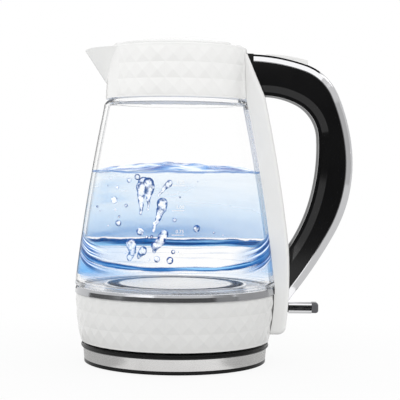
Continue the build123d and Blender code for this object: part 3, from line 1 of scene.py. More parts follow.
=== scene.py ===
# %% [markdown]
# # A glass kettle on its power base
#
# The solids of this kettle already have their real sizes: base, skirt, jar, collar, lid, spine and handle. This
# lesson dresses them. It cuts the small pyramids into the two white bands, fills the jar with boiling water, prints
# the volume lines, and gives every surface a finish that is worked out by nodes.
#
# The solids come first, because every new piece is placed by them.

# %% The imported solids
import math
import random

import bpy
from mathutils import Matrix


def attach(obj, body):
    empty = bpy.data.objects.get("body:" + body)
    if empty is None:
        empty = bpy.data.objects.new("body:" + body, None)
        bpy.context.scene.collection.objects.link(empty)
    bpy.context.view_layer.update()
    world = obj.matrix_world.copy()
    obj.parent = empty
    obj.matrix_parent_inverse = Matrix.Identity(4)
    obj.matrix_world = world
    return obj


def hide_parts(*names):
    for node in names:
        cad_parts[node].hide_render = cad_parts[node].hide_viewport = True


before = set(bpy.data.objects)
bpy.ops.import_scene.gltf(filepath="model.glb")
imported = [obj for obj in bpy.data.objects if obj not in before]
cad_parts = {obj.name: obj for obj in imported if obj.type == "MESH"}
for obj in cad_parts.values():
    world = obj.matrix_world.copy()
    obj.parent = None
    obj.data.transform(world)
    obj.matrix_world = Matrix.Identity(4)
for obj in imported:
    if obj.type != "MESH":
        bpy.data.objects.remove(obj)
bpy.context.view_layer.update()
MM = 0.001

# %% [markdown]
# ## The camera
#
# The kettle is seen straight from its side, the spout on the left and the handle on the right. The lens is long and
# stands at the height of the water's surface, so the surface shows as a thin line and the base is seen a little from
# above. The whole picture leans by about half a degree, which a turn about the camera's own axis gives.

# %% Camera
CAMERA_PLACE = (0.018, -0.870, 0.1483)
CAMERA_TILT = math.radians(90.0 - 1.71)
CAMERA_ROLL = math.radians(0.6)
CAMERA_LENS = 103.0


def clear_selection():
    """Leave edit mode and deselect everything, so that the next operator touches only its own piece."""
    if bpy.context.object and bpy.context.object.mode != "OBJECT":
        bpy.ops.object.mode_set(mode="OBJECT")
    bpy.ops.object.select_all(action="DESELECT")


clear_selection()
bpy.ops.object.camera_add(location=CAMERA_PLACE, rotation=(CAMERA_TILT, 0, 0))
camera = bpy.context.object
camera.rotation_euler.rotate_axis("Z", CAMERA_ROLL)
camera.data.lens = CAMERA_LENS
camera.data.clip_start = 0.01
bpy.context.scene.camera = camera
bpy.context.scene.view_settings.view_transform = "Standard"
print("camera lens:", camera.data.lens, "mm")

# %% [markdown]
# ## A small language for finishes
#
# A finish is a net of nodes. Sums inside it are easier to read as sums, so one class wraps a socket and lets Python's
# own signs place the Math nodes. Everything else comes from one method that takes the node's kind, its settings and
# what goes into its sockets. Colours are written as they look on a screen, from 0 to 255, and turned into light.

# %% Signals, node trees and colours


class Signal:
    """A number that varies over a surface. Signs such as + and * put a Math node behind it."""

    def __init__(self, socket):
        self.socket = socket

    def math(self, operation, *parts):
        tree = self.socket.id_data
        node = tree.nodes.new("ShaderNodeMath")
        node.operation = operation
        for socket, part in zip(node.inputs, parts):
            if isinstance(part, Signal):
                tree.links.new(part.socket, socket)
            else:
                socket.default_value = part
        return Signal(node.outputs[0])

    def __add__(self, other):
        return self.math("ADD", self, other)

    def __sub__(self, other):
        return self.math("SUBTRACT", self, other)

    def __mul__(self, other):
        return self.math("MULTIPLY", self, other)

    def __truediv__(self, other):
        return self.math("DIVIDE", self, other)

    def __pow__(self, other):
        return self.math("POWER", self, other)

    def __abs__(self):
        return self.math("ABSOLUTE", self)

    def __neg__(self):
        return self.math("MULTIPLY", self, -1.0)

    def __rsub__(self, other):
        return self.math("SUBTRACT", other, self)

    def __rtruediv__(self, other):
        return self.math("DIVIDE", other, self)

    __radd__ = __add__
    __rmul__ = __mul__

    def clamped(self):
        return self.math("MINIMUM", self.math("MAXIMUM", self, 0.0), 1.0)

    def larger(self, other):
        return self.math("MAXIMUM", self, other)

    def rising(self, start, width):
        """0 up to a start, and from there up to 1 over a width."""
        return ((self - start) / width).clamped()


class Net:
    """A node tree. Its node method adds a node of any kind and hands back one of that node's outputs."""

    def __init__(self, tree):
        self.tree = tree
        tree.nodes.clear()

    def node(self, kind, settings=None, sockets=None, output=0):
        node = self.tree.nodes.new(kind)
        for name, setting in (settings or {}).items():
            if name == "stops":
                self.set_stops(node.color_ramp, setting)
            else:
                setattr(node, name, setting)
        for name, value in (sockets or {}).items():
            if isinstance(value, Signal):
                self.tree.links.new(value.socket, node.inputs[name])
            else:
                node.inputs[name].default_value = value
        return Signal(node.outputs[output]) if node.outputs else None

    def set_stops(self, ramp, stops):
        while len(ramp.elements) < len(stops):
            ramp.elements.new(0.5)
        for element, (place, colour) in zip(ramp.elements, stops):
            element.position = place
            element.color = colour


def colour(red, green, blue):
    """A screen colour, 0 to 255, as the light that it stands for."""
    light = []
    for value in (red, green, blue):
        share = value / 255
        light.append(share / 12.92 if share <= 0.04045 else ((share + 0.055) / 1.055) ** 2.4)
    return (*light, 1.0)


def new_finish(name):
    material = bpy.data.materials.new(name)
    material.use_nodes = True
    return material, Net(material.node_tree)


def object_place(net):
    """Where a point of the surface lies, in the piece's own coordinates."""
    return net.node("ShaderNodeTexCoord", output=3)


def axes(net, place):
    """The three coordinates of a place as separate signals."""
    return [net.node("ShaderNodeSeparateXYZ", sockets={0: place}, output=axis) for axis in range(3)]


def noise(net, place, scale, detail=2.0):
    return net.node("ShaderNodeTexNoise", sockets={"Vector": place, "Scale": scale, "Detail": detail})


def send_out(net, surface):
    """Join a shader to the output of its finish."""
    net.node("ShaderNodeOutputMaterial", sockets={"Surface": surface})


print("white on a screen of 238 is light of", round(colour(238, 238, 238)[0], 3))

# %% [markdown]
# ## The studio
#
# The kettle stands in a bright white room. The world is plain white wherever the lens, a mirror or the glass looks
# at it, and dimmer for the light that it sheds, so that the white plastic keeps some shading. Two soft lamps add a
# direction. The floor is white too, and keeps a faint shadow.

# %% World, lamps and floor
AMBIENT = 0.98
LAMP_AIM = (0, 0, 0.12)
FLOOR_SIZE = 6.0
FLOOR_Z = -0.0005
FLOOR_SHADED = (209, 209, 208)
FLOOR_WHITE_SHARE = 0.89
FLOOR_WHITER_PER_METRE = 0.35

world = bpy.data.worlds.new("White_room")
bpy.context.scene.world = world
world.use_nodes = True
room = Net(world.node_tree)


def seen_directly(net):
    """1 for rays from the lens, from mirrors and through glass, 0 for the light that falls on things."""
    from_lens, from_mirror, through_glass = (net.node("ShaderNodeLightPath", output=output) for output in (0, 3, 6))
    return from_lens.larger(from_mirror).larger(through_glass)


strength = seen_directly(room) * (1 - AMBIENT) + AMBIENT
background = room.node("ShaderNodeBackground", sockets={"Color": (1, 1, 1, 1), "Strength": strength})
room.node("ShaderNodeOutputWorld", sockets={"Surface": background})


def soft_lamp(name, place, aim, size, power):
    clear_selection()
    bpy.ops.object.light_add(type="AREA", location=place)
    lamp = bpy.context.object
    lamp.name = name
    lamp.data.shape = "SQUARE"
    lamp.data.size = size
    lamp.data.energy = power
    direction = [a - p for a, p in zip(aim, place)]
    flat = math.hypot(direction[0], direction[1])
    lamp.rotation_euler = (math.atan2(flat, -direction[2]), 0, math.atan2(-direction[0], direction[1]))


soft_lamp("Lamp_left", (-0.8, -0.9, 1.1), LAMP_AIM, size=0.9, power=3.2)
soft_lamp("Lamp_right", (1.2, -0.3, 0.9), LAMP_AIM, size=0.8, power=2.0)

clear_selection()
bpy.ops.mesh.primitive_plane_add(size=FLOOR_SIZE, location=(0, 0, FLOOR_Z))
floor = bpy.context.object
floor.name = "Floor"
material, net = new_finish("Floor_white")
place = object_place(net)
distance = net.node("ShaderNodeVectorMath", {"operation": "LENGTH"}, {0: place}, output=1)
speck = noise(net, place, 30.0)
plain = net.node("ShaderNodeBsdfDiffuse", sockets={"Color": colour(*FLOOR_SHADED)})
shine = net.node("ShaderNodeEmission", sockets={"Color": (1, 1, 1, 1), "Strength": 1.0})
white = (FLOOR_WHITE_SHARE + speck * 0.01 + distance * FLOOR_WHITER_PER_METRE).clamped()
send_out(net, net.node("ShaderNodeMixShader", sockets={0: seen_directly(net) * white, 1: plain, 2: shine}))
floor.data.materials.append(material)
print("ambient light:", AMBIENT)

# %% [markdown]
# ## Cards
#
# Bright metal shows nothing but what stands around it. A photographer puts black, grey and pale card just out of the
# picture, and the chrome then gets its dark lines and stands out from a white room. These cards are seen by mirrors
# only, so they neither shade nor show.

# %% Cards for the chrome and the steel ring


def new_card(name, finish, place, size, turn):
    clear_selection()
    bpy.ops.mesh.primitive_plane_add(size=1.0, location=place, rotation=turn)
    card = bpy.context.object
    card.name = name
    card.scale = (size[0], size[1], 1.0)
    bpy.ops.object.transform_apply(location=True, rotation=True, scale=True)
    for kind in ("camera", "diffuse", "transmission", "volume_scatter", "shadow"):
        setattr(card, "visible_" + kind, False)
    card.data.materials.append(finish)
    return card


def card_finish(name, screen):
    material, net = new_finish(name)
    send_out(net, net.node("ShaderNodeEmission", sockets={"Color": colour(*screen), "Strength": 1.0}))
    return material


QUARTER = math.radians(90)
UPRIGHT = (QUARTER, 0, 0)
SIDEWAYS = (0, QUARTER, 0)
FLAT = (0, 0, 0)
card_black = card_finish("Card_black", (18, 18, 20))
card_dark = card_finish("Card_dark", (98, 98, 98))
card_grey = card_finish("Card_grey", (120, 120, 120))
card_soft = card_finish("Card_soft", (172, 172, 172))
card_pale = card_finish("Card_pale", (198, 198, 198))
cards = [
    new_card("Card_front", card_dark, (0.0, -1.05, 0.06), (3.6, 0.54), UPRIGHT),
    new_card("Card_side_left", card_dark, (-1.7, -0.20, 0.10), (0.24, 1.7), SIDEWAYS),
    new_card("Card_side_right", card_dark, (1.7, -0.20, 0.10), (0.24, 1.7), SIDEWAYS),
    new_card("Card_floor", card_black, (0.10, -0.38, 0.0), (0.30, 0.24), FLAT),
    new_card("Card_above", card_black, (0.05, 0.43, 0.9), (1.18, 1.54), FLAT),
    new_card("Card_right", card_pale, (1.2, 0.42, 0.92), (1.94, 1.56), SIDEWAYS),
    new_card("Card_right_front", card_soft, (1.1, -0.72, 0.25), (0.7, 0.7), SIDEWAYS),
    new_card("Card_right_high", card_pale, (1.1, -0.66, 0.925), (0.65, 0.82), SIDEWAYS),
    new_card("Card_floor_far", card_pale, (0.68, 0.25, 0.0), (1.04, 1.9), FLAT),
    new_card("Card_floor_left", card_pale, (-0.0925, -0.0075, 0.0), (0.075, 0.135), FLAT),
    new_card("Card_floor_right", card_pale, (0.0925, -0.0075, 0.0), (0.075, 0.135), FLAT),
    new_card("Card_back_left", card_black, (-0.42, 0.95, 0.2), (0.16, 0.9), UPRIGHT),
    new_card("Card_back_right", card_grey, (0.42, 0.95, 0.2), (0.16, 0.9), UPRIGHT),
]
print("cards:", len(cards))

# %% [markdown]
# ## Plastics
#
# Moulded plastic is never quite even: its colour drifts a little, its gloss varies, and a fine skin shows in the
# highlight. Noise at two sizes gives all three. A gloss part and a satin part differ in how rough and how deep that
# skin is, so one function serves every plastic on the kettle.

# %% Plastic finishes
finishes = {}


def drifting(net, screen, drift, cloud):
    """A colour that drifts a few screen steps to either side, as a noise says."""
    low = colour(*(max(value - drift, 0) for value in screen))
    high = colour(*(min(value + drift, 255) for value in screen))
    return net.node("ShaderNodeValToRGB", {"stops": ((0.3, low), (0.7, high))}, {"Fac": cloud})


def plastic(name, screen, roughness, skin, drift=5, shine=0.5, painted_glow_strength=0.0):
    """A moulded plastic: its screen colour, how rough it is, how deep its skin is in millimetres, and how strongly it
    glows in its own colour, a painted glow that lifts it where it sits in shade."""
    material, net = new_finish(name)
    place = object_place(net)
    cloud = noise(net, place, 35.0)
    fine = noise(net, place, 1500.0, 1.0)
    tone = drifting(net, screen, drift, cloud)
    bump = net.node("ShaderNodeBump", sockets={"Height": fine, "Strength": 0.25, "Distance": skin * MM})
    surface = net.node(
        "ShaderNodeBsdfPrincipled",
        sockets={
            "Base Color": tone,
            "Roughness": roughness + (cloud - 0.5) * 0.08,
            "Specular IOR Level": shine,
            "Emission Color": tone,
            "Emission Strength": painted_glow_strength,
            "Normal": bump,
        },
    )
    send_out(net, surface)
    finishes[name] = material


plastic("white_gloss", (246, 246, 245), 0.20, 0.004, drift=2)
# The skirt's white is the white gloss painted darker: painted shade for the low band, which gets less light.
plastic("skirt_white", (231, 231, 230), 0.20, 0.004, drift=2)
plastic("white_satin", (228, 228, 228), 0.45, 0.02, drift=2)
plastic("black_gloss", (10, 10, 11), 0.10, 0.003, drift=2, shine=0.4)
plastic("black_satin", (7, 7, 8), 0.2, 0.01, drift=2, shine=0.2)
plastic("grip_dark", (15, 15, 16), 0.4, 0.03, drift=3, shine=0.35)
plastic("tip_grey", (92, 92, 96), 0.35, 0.02)
plastic("insulator_dark", (44, 43, 42), 0.6, 0.03)
plastic("foot_rubber", (38, 38, 38), 0.8, 0.05)
plastic("seal_clear", (222, 224, 226), 0.4, 0.01)
# A paler copy of the clear seal that glows: painted light for the gaskets and the spine liner, which sit in shade.
plastic("seal_bright", (238, 238, 238), 0.4, 0.01, drift=2, painted_glow_strength=0.2)
print("plastics:", sorted(finishes))

# %% [markdown]
# ## Metals
#
# The band round the base is brushed around its circle, so its scratches are long along the band and thin across it.
# Noise that is stretched flat gives them, in the roughness and in a very shallow bump. Chrome is the same metal with
# almost no scratches, and the screws, strips and castings are duller.

# %% Metal finishes
SCRATCH_DEPTH = 0.02 * MM


def metal(name, screen, roughness, brushing, grain=(60.0, 60.0, 6000.0), drift=6):
    """A metal with scratches: grain says how fine the scratches are along X, Y and Z."""
    material, net = new_finish(name)
    place = object_place(net)
    along = net.node("ShaderNodeMapping", sockets={"Vector": place, "Scale": grain})
    lines = noise(net, along, 1.0, 3.0)
    tone = drifting(net, screen, drift, noise(net, place, 40.0))
    bump = net.node("ShaderNodeBump", sockets={"Height": lines, "Strength": brushing, "Distance": SCRATCH_DEPTH})
    surface = net.node(
        "ShaderNodeBsdfPrincipled",
        sockets={
            "Base Color": tone,
            "Metallic": 1.0,
            "Roughness": roughness + (lines - 0.5) * roughness * 0.8,
            "Normal": bump,
        },
    )
    send_out(net, surface)
    finishes[name] = material


metal("chrome_trim", (249, 249, 251), 0.07, 0.004, grain=(60.0, 60.0, 600.0), drift=2)
metal("ring_steel", (184, 185, 188), 0.14, 0.1, grain=(60.0, 60.0, 3000.0), drift=4)
metal("band_steel", (216, 215, 214), 0.27, 0.12)
metal("plate_steel", (206, 207, 209), 0.12, 0.15, grain=(900.0, 900.0, 900.0))
metal("screw_steel", (178, 179, 184), 0.35, 0.1, grain=(400.0, 400.0, 400.0))
metal("heater_metal", (186, 186, 186), 0.5, 0.3, grain=(700.0, 700.0, 700.0))
metal("bimetal", (190, 182, 166), 0.4, 0.2, grain=(400.0, 400.0, 2000.0))
metal("contact_brass", (216, 186, 118), 0.28, 0.2, grain=(300.0, 300.0, 3000.0))
print("metals and plastics:", len(finishes))

# %% [markdown]
# The heating plate is turned from the same steel. Near the edge of its raised middle, a dark ring is painted as a
# painted reflection that stands in for the water mirrored in the plate, so the colour is read from the distance to the
# axis. Seen flat, bare metal is white whatever its colour, so the painted dark ring is less of a metal.

# %% Plate rings, with a painted reflection
PLATE_R = 0.056
PLATE_STOPS_WITH_PAINTED_RING = (
    (0.0, colour(216, 217, 219)), (0.74, colour(206, 207, 209)), (0.78, colour(40, 58, 84)),
    (0.91, colour(26, 40, 60)), (0.94, colour(222, 223, 225)),
)

material, net = new_finish("plate_painted_reflection_ring")
place = object_place(net)
x, y, _ = axes(net, place)
reach = (x * x + y * y) ** 0.5 / PLATE_R
turned = noise(net, place, 900.0)
rings = net.node("ShaderNodeValToRGB", {"stops": PLATE_STOPS_WITH_PAINTED_RING}, {"Fac": reach})
# Painted reflection: the dark ring stands in for the water mirrored in the plate, and there the plate is less of a
# metal.
painted_ring_mask = reach.rising(0.748, 0.04) * (1 - reach.rising(0.9125, 0.025))
surface = net.node(
    "ShaderNodeBsdfPrincipled",
    sockets={
        "Base Color": rings,
        "Metallic": 1 - painted_ring_mask * 0.8,
        "Roughness": 0.1 + turned * 0.1,
        "Specular IOR Level": 0.0,
    },
)
send_out(net, surface)
finishes["plate_painted_reflection_ring"] = material
print("plate rings:", len(PLATE_STOPS_WITH_PAINTED_RING))

# %% [markdown]
# ## Glass
#
# The jar is clear and thin. Looked at squarely it hides nothing. Where its wall turns away from the eye, a fine grey
# line is painted in as painted edge shade; it fades out below the foot and is weaker beside the spine. Light that only
# falls through it, on its way to the water, passes straight: that keeps the water bright and clean.

# %% Jar glass
GLASS_IOR = 1.06
PAINTED_EDGE_GREY = colour(104, 104, 104)
EDGE_START = 0.74
EDGE_WIDTH = 0.2
EDGE_COVER = 0.8
FOOT_Z = 0.06167
FOOT_FADE = 0.00333
SPINE_X = 0.035
SPINE_FADE = 0.01

material, net = new_finish("jar_glass")
place = object_place(net)
x, _, z = axes(net, place)
clear = net.node(
    "ShaderNodeBsdfPrincipled",
    sockets={
        "Base Color": (1, 1, 1, 1),
        "Roughness": (noise(net, place, 25.0) - 0.4).clamped() * 0.02,
        "IOR": GLASS_IOR,
        "Transmission Weight": 1.0,
    },
)
turning = net.node("ShaderNodeLayerWeight", sockets={"Blend": 0.5}, output=1)
clear_of_spine = 1 - x.rising(SPINE_X, SPINE_FADE)
# Painted edge shade: a grey mixed in where the wall turns away from the eye, faded below the foot and weakened beside
# the spine.
painted_edge_shade = turning.rising(EDGE_START, EDGE_WIDTH) * z.rising(FOOT_Z, FOOT_FADE) * (0.25 + clear_of_spine * 0.75)
edge = net.node(
    "ShaderNodeBsdfPrincipled",
    sockets={"Base Color": PAINTED_EDGE_GREY, "Roughness": 0.2, "Specular IOR Level": 0.1},
)
wall = net.node("ShaderNodeMixShader", sockets={0: painted_edge_shade * EDGE_COVER, 1: clear, 2: edge})
shadow_ray, diffuse_ray = (net.node("ShaderNodeLightPath", output=output) for output in (1, 2))
through = net.node("ShaderNodeBsdfTransparent", sockets={"Color": (1, 1, 1, 1)})
send_out(net, net.node("ShaderNodeMixShader", sockets={0: shadow_ray.larger(diffuse_ray), 1: wall, 2: through}))
finishes["jar_glass"] = material

# %% [markdown]
# ## Dressing the solids
#
# Most solids have their true shape already. Each keeps it and takes the finish that its slot in the record names, but a
# few take their own: the gaskets and the spine liner glow as painted light where they sit in shade, the seat ring is
# steel, and the plate carries a painted reflection ring.

# %% A finish for every solid
OWN_FINISH = {
    # The gaskets and the spine liner glow as painted light, to lift them where they sit in shade.
    "collar_gasket": "seal_bright",
    "jar_base_gasket": "seal_bright",
    "spine_liner": "seal_bright",
    "glass_seat_ring": "ring_steel",
    "element_plate": "plate_painted_reflection_ring",
}
for name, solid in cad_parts.items():
    slot = solid.material_slots[0].material.name.split(".")[0]
    solid.material_slots[0].material = finishes[OWN_FINISH.get(name, slot)]
print("dressed:", len(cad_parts))

# %% [markdown]
# ## Turning a profile
#
# Skirt, facets and water are all round. Each starts as a single corner that is extruded into a profile, point by
# point, and then spun about the jar's axis. The seam where the turn closes is merged, and the faces are turned out.

# %% Profile and spin


def draw_profile(name, points):
    """Extrude one corner along the points, which are x, y, z in metres, and stay in edit mode."""
    clear_selection()
    bpy.ops.mesh.primitive_plane_add(size=0.01)
    piece = bpy.context.object
    piece.name = name
    bpy.ops.object.mode_set(mode="EDIT")
    bpy.ops.mesh.select_mode(type="VERT")
    bpy.ops.mesh.select_all(action="SELECT")
    bpy.ops.mesh.merge(type="CENTER")
    bpy.ops.transform.translate(value=points[0])
    for start, end in zip(points, points[1:]):
        step = [b - a for a, b in zip(start, end)]
        bpy.ops.mesh.extrude_region_move(TRANSFORM_OT_translate={"value": step})
    return piece


def spin_on(steps, angle):
    """Carry the selected profile on round the jar's axis, from the handle towards the back for a positive angle."""
    bpy.ops.mesh.spin(steps=steps, angle=-angle, center=(0, 0, 0), axis=(0, 0, 1))


def close_up(piece):
    """Merge the seams, turn the faces outwards and leave edit mode."""
    bpy.ops.mesh.select_all(action="SELECT")
    bpy.ops.mesh.remove_doubles(threshold=1e-6)
    bpy.ops.mesh.normals_make_consistent(inside=False)
    bpy.ops.object.mode_set(mode="OBJECT")
    return piece


def full_turn(name, profile, steps):
    """A round piece from its profile of (radius, height) in millimetres."""
    piece = draw_profile(name, [(r * MM, 0.0, z * MM) for r, z in profile])
    bpy.ops.mesh.select_all(action="SELECT")
    spin_on(steps, 2 * math.pi)
    return close_up(piece)


def make_active(piece):
    clear_selection()
    piece.select_set(True)
    bpy.context.view_layer.objects.active = piece


def pick_faces(piece, wanted):
    """Select the faces that a test on centre and normal picks, and enter edit mode on them."""
    make_active(piece)
    bpy.ops.object.mode_set(mode="EDIT")
    bpy.ops.mesh.select_mode(type="FACE")
    bpy.ops.mesh.select_all(action="DESELECT")
    bpy.ops.object.mode_set(mode="OBJECT")
    count = 0
    for face in piece.data.polygons:
        face.select = wanted(face.center, face.normal)
        count += face.select
    bpy.ops.object.mode_set(mode="EDIT")
    return count


def smooth(piece):
    for face in piece.data.polygons:
        face.use_smooth = True


def apply_modifier(piece, kind, **settings):
    make_active(piece)
    modifier = piece.modifiers.new(kind.title(), kind)
    for name, value in settings.items():
        setattr(modifier, name, value)
    bpy.ops.object.modifier_apply(modifier=modifier.name)


def finish_piece(piece, body, finish):
    """Give the piece its finish and the body that it moves with."""
    piece.data.materials.clear()
    piece.data.materials.append(finish)
    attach(piece, body)
    print(piece.name, "faces:", len(piece.data.polygons))


# %% [markdown]
# ## The faceted skirt
#
# The skirt under the jar is covered with three rows of low pyramids. A profile with one point at each row's edge is
# spun in as many steps as there are pyramids, and every outer face is then poked: its middle comes out and four flat
# triangles meet there. Flat shading keeps the facets crisp.

# %% Skirt
SKIRT_CELLS = 42
SKIRT_FOOT = ((71.4, 16.7), (71.65, 18.1))
SKIRT_ROWS = ((71.85, 18.7), (73.9, 29.9), (74.85, 41.3), (75.25, 51.8))
SKIRT_BRIM = (74.7, 52.8)
SKIRT_WALL = 2.5
SKIRT_RELIEF = 0.75

outer = [*SKIRT_FOOT, *SKIRT_ROWS, SKIRT_BRIM]
inner = [(r - SKIRT_WALL, z) for r, z in reversed(outer)]
skirt = full_turn("skirt", outer + inner + outer[:1], SKIRT_CELLS)


def skirt_cell(centre, normal):
    outside = centre.x * normal.x + centre.y * normal.y > 0.5 * math.hypot(centre.x, centre.y)
    return outside and SKIRT_ROWS[0][1] * MM < centre.z < SKIRT_ROWS[-1][1] * MM


cells = pick_faces(skirt, skirt_cell)
bpy.ops.mesh.poke(offset=SKIRT_RELIEF * MM, use_relative_offset=False)
bpy.ops.object.mode_set(mode="OBJECT")
# The skirt takes the darker white, which is painted shade.
finish_piece(skirt, "kettle", finishes["skirt_white"])
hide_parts("lower_skirt")
print("pyramids on the skirt:", cells)

# %% [markdown]
# ## The faceted collar
#
# The collar has the same pyramids, in three rows that run from the spine to the plain panel beside the spout. They
# lie on the collar as a thin shell: one side is spun from the spine forward, poked, mirrored to the other side, and
# given a thickness that reaches into the collar.

# %% Collar facets
COLLAR_LOW = (54.1, 197.9)
COLLAR_HIGH = (52.4, 236.7)
COLLAR_ROW_EDGES = (199.3, 211.0, 222.6, 234.1)
COLLAR_LIFT = 0.36
COLLAR_RELIEF = 0.5
COLLAR_SHELL = 0.6
CELL_PITCH = math.radians(12.3)
SPINE_SIDE = math.radians(19.0)
SPOUT_PANEL = math.radians(143.0)


def collar_radius(z):
    share = (z - COLLAR_LOW[1]) / (COLLAR_HIGH[1] - COLLAR_LOW[1])
    return COLLAR_LOW[0] + (COLLAR_HIGH[0] - COLLAR_LOW[0]) * share


profile = []
for z in COLLAR_ROW_EDGES:
    radius = collar_radius(z) + COLLAR_LIFT
    profile.append((radius * math.cos(SPINE_SIDE) * MM, radius * math.sin(SPINE_SIDE) * MM, z * MM))
facets = draw_profile("collar_facets", profile)
bpy.ops.mesh.select_all(action="SELECT")
first_cell = 2 * CELL_PITCH - SPINE_SIDE
whole_cells = int((SPOUT_PANEL - 2 * CELL_PITCH) / CELL_PITCH)
last_cell = SPOUT_PANEL - (2 + whole_cells) * CELL_PITCH
spin_on(1, first_cell)
spin_on(whole_cells, whole_cells * CELL_PITCH)
spin_on(1, last_cell)
close_up(facets)
sample = facets.data.polygons[0]
if sample.center.x * sample.normal.x + sample.center.y * sample.normal.y < 0:
    make_active(facets)
    bpy.ops.object.mode_set(mode="EDIT")
    bpy.ops.mesh.select_all(action="SELECT")
    bpy.ops.mesh.flip_normals()
    bpy.ops.object.mode_set(mode="OBJECT")
cells = pick_faces(facets, lambda centre, normal: True)
bpy.ops.mesh.poke(offset=COLLAR_RELIEF * MM, use_relative_offset=False)
bpy.ops.object.mode_set(mode="OBJECT")
apply_modifier(facets, "MIRROR", use_axis=(False, True, False), use_mirror_merge=False)
apply_modifier(facets, "SOLIDIFY", thickness=COLLAR_SHELL * MM, offset=-1.0)
finish_piece(facets, "kettle", finishes["white_gloss"])
print("pyramids on the collar:", 2 * cells)

# %% [markdown]
# ## The water
#
# Boiling water stands a little over half way up the jar. It is one closed, round body just clear of the glass, with
# its surface heaved up in the middle. Many rings on the surface let a Displace modifier raise uneven waves there,
# and a vertex group keeps the sides out of it.

# %% Water body
WATER_RIM_Z = 144.2
WATER_HEAVE = 5.8
WAVE_HEIGHT = 6.5
WAVE_LENGTH = 28.0
GLASS_GAP = 0.25
WATER_RINGS = 26
WATER_STEPS = 144
WATER_FOOT = ((0.0, 59.9), (40.0, 59.9), (70.2, 59.9), (72.0, 60.7))
JAR_INSIDE = (
    (72.7, 62.5), (72.75, 68.3), (71.3, 82.3), (69.6, 96.3), (67.7, 110.3), (65.6, 124.3), (63.2, 138.3),
    (62.1, WATER_RIM_Z),
)

profile = [*WATER_FOOT, *((r - GLASS_GAP, z) for r, z in JAR_INSIDE)]
rim_r = profile[-1][0]
for ring in range(1, WATER_RINGS + 1):
    share = ring / WATER_RINGS
    profile.append((rim_r * (1 - share), WATER_RIM_Z + WATER_HEAVE * (1 - (1 - share) ** 2)))
water = full_turn("water", profile, WATER_STEPS)
surface_group = water.vertex_groups.new(name="surface")
for vertex in water.data.vertices:
    from_rim = 1 - math.hypot(vertex.co.x, vertex.co.y) / (rim_r * MM)
    if vertex.co.z > (WATER_RIM_Z - 0.05) * MM:
        surface_group.add([vertex.index], min(1.0, 0.25 + 3.0 * from_rim), "REPLACE")
swell = bpy.data.textures.new("Swell", "CLOUDS")
swell.noise_scale = WAVE_LENGTH * MM
swell.noise_depth = 2
apply_modifier(
    water, "DISPLACE", texture=swell, texture_coords="LOCAL", direction="Z", strength=WAVE_HEIGHT * MM,
    mid_level=0.5, vertex_group="surface",
)
smooth(water)
heights = [vertex.co.z / MM for vertex in water.data.vertices]
print("water from", round(min(heights), 1), "to", round(max(heights), 1), "mm")

# %% [markdown]
# The water is a clear blue that is palest under the surface and deepest low down. Two dark ribbons of rolling water
# run round it: a level one across the back, and one at the front that sags like a bowl and climbs at the sides, where
# it frays into strands. Heights and directions are read from the piece's own coordinates, and noise bends them.

# %% Water zones
BOWL_Z = 75.4
BOWL_CLIMB = 14.7
LEVEL_Z = 89.6
LEVEL_DIP = 4.65
LEVEL_HALF = 3.0
LEVEL_R = 0.069
SURFACE_Z = 144.4

material, net = new_finish("water_blue")
place = object_place(net)
x, y, z = axes(net, place)
height = z * 1000.0
radius = ((x * x + y * y) ** 0.5).larger(0.001)
facing = -y / radius
front = facing.rising(-0.05, 0.25)
back = 1 - front
flank = 1 - abs(facing)


def noise_at(scale, detail=2.0, stretch=(1.0, 1.0, 1.0), turn=(0.0, 0.0, 0.0)):
    """Noise over the whole body, stretched and turned."""
    moved = net.node("ShaderNodeMapping", sockets={"Vector": place, "Scale": stretch, "Rotation": turn})
    return noise(net, moved, scale, detail)


def threads_along(level, round_scale, up_scale, detail=3.0):
    """Noise in long threads that keep to a level, which may itself bend."""
    spot = net.node("ShaderNodeCombineXYZ", sockets={0: x * round_scale, 1: y * round_scale, 2: level * up_scale})
    return noise(net, spot, 1.0, detail)


def ribbon(centre, half, soft):
    """1 within half of a height, falling to 0 over soft more millimetres."""
    return (1 - (abs(height - centre) - half) / soft).clamped()


def blended(share, first, second):
    """The first colour where the share is 0, the second where it is 1."""
    return net.node("ShaderNodeMix", {"data_type": "RGBA"}, {"Factor": share, 6: first, 7: second}, output=2)


def by_stops(stops, amount):
    return net.node("ShaderNodeValToRGB", {"stops": stops}, {"Fac": amount})


roll = noise_at(20.0) - 0.5
ripple = noise_at(55.0, 3.0) - 0.5
bowl_z = BOWL_Z + ((1 - facing) ** 1.5) * BOWL_CLIMB + roll * 4.0
level_z = LEVEL_Z - y * (LEVEL_DIP / LEVEL_R) + roll * 2.5 + ripple * 1.2
from_bowl = height - bowl_z
from_level = height - level_z
print("water bands at", LEVEL_Z, "and", BOWL_Z, "mm")

# %% [markdown]
# Between the zones run threads and sheets, which are noise drawn out along the ribbons. Each zone then has a mask:
# the body above the level ribbon, the ribbons, the strands at the flanks, the shade under the bowl, the blue between
# the ribbons on the left, and the surface.

# %% Water masks
SHADE_FOOT_Z = 63.0
STRAND_LIFT = 2.0
STRAND_REACH = 11.0
SHEET_TURN = (0.0, math.radians(16), 0.0)

grain = threads_along(from_level, 9.0, 0.42)
bowl_grain = threads_along(from_bowl, 9.0, 0.55)
strand_grain = threads_along(from_bowl, 11.0, 0.7)
fine = threads_along(from_level, 10.0, 0.5, 2.0).rising(0.56, 0.111)
sheets = noise_at(13.0, 4.0, (1.0, 1.0, 7.0), SHEET_TURN).rising(0.45, 0.25)

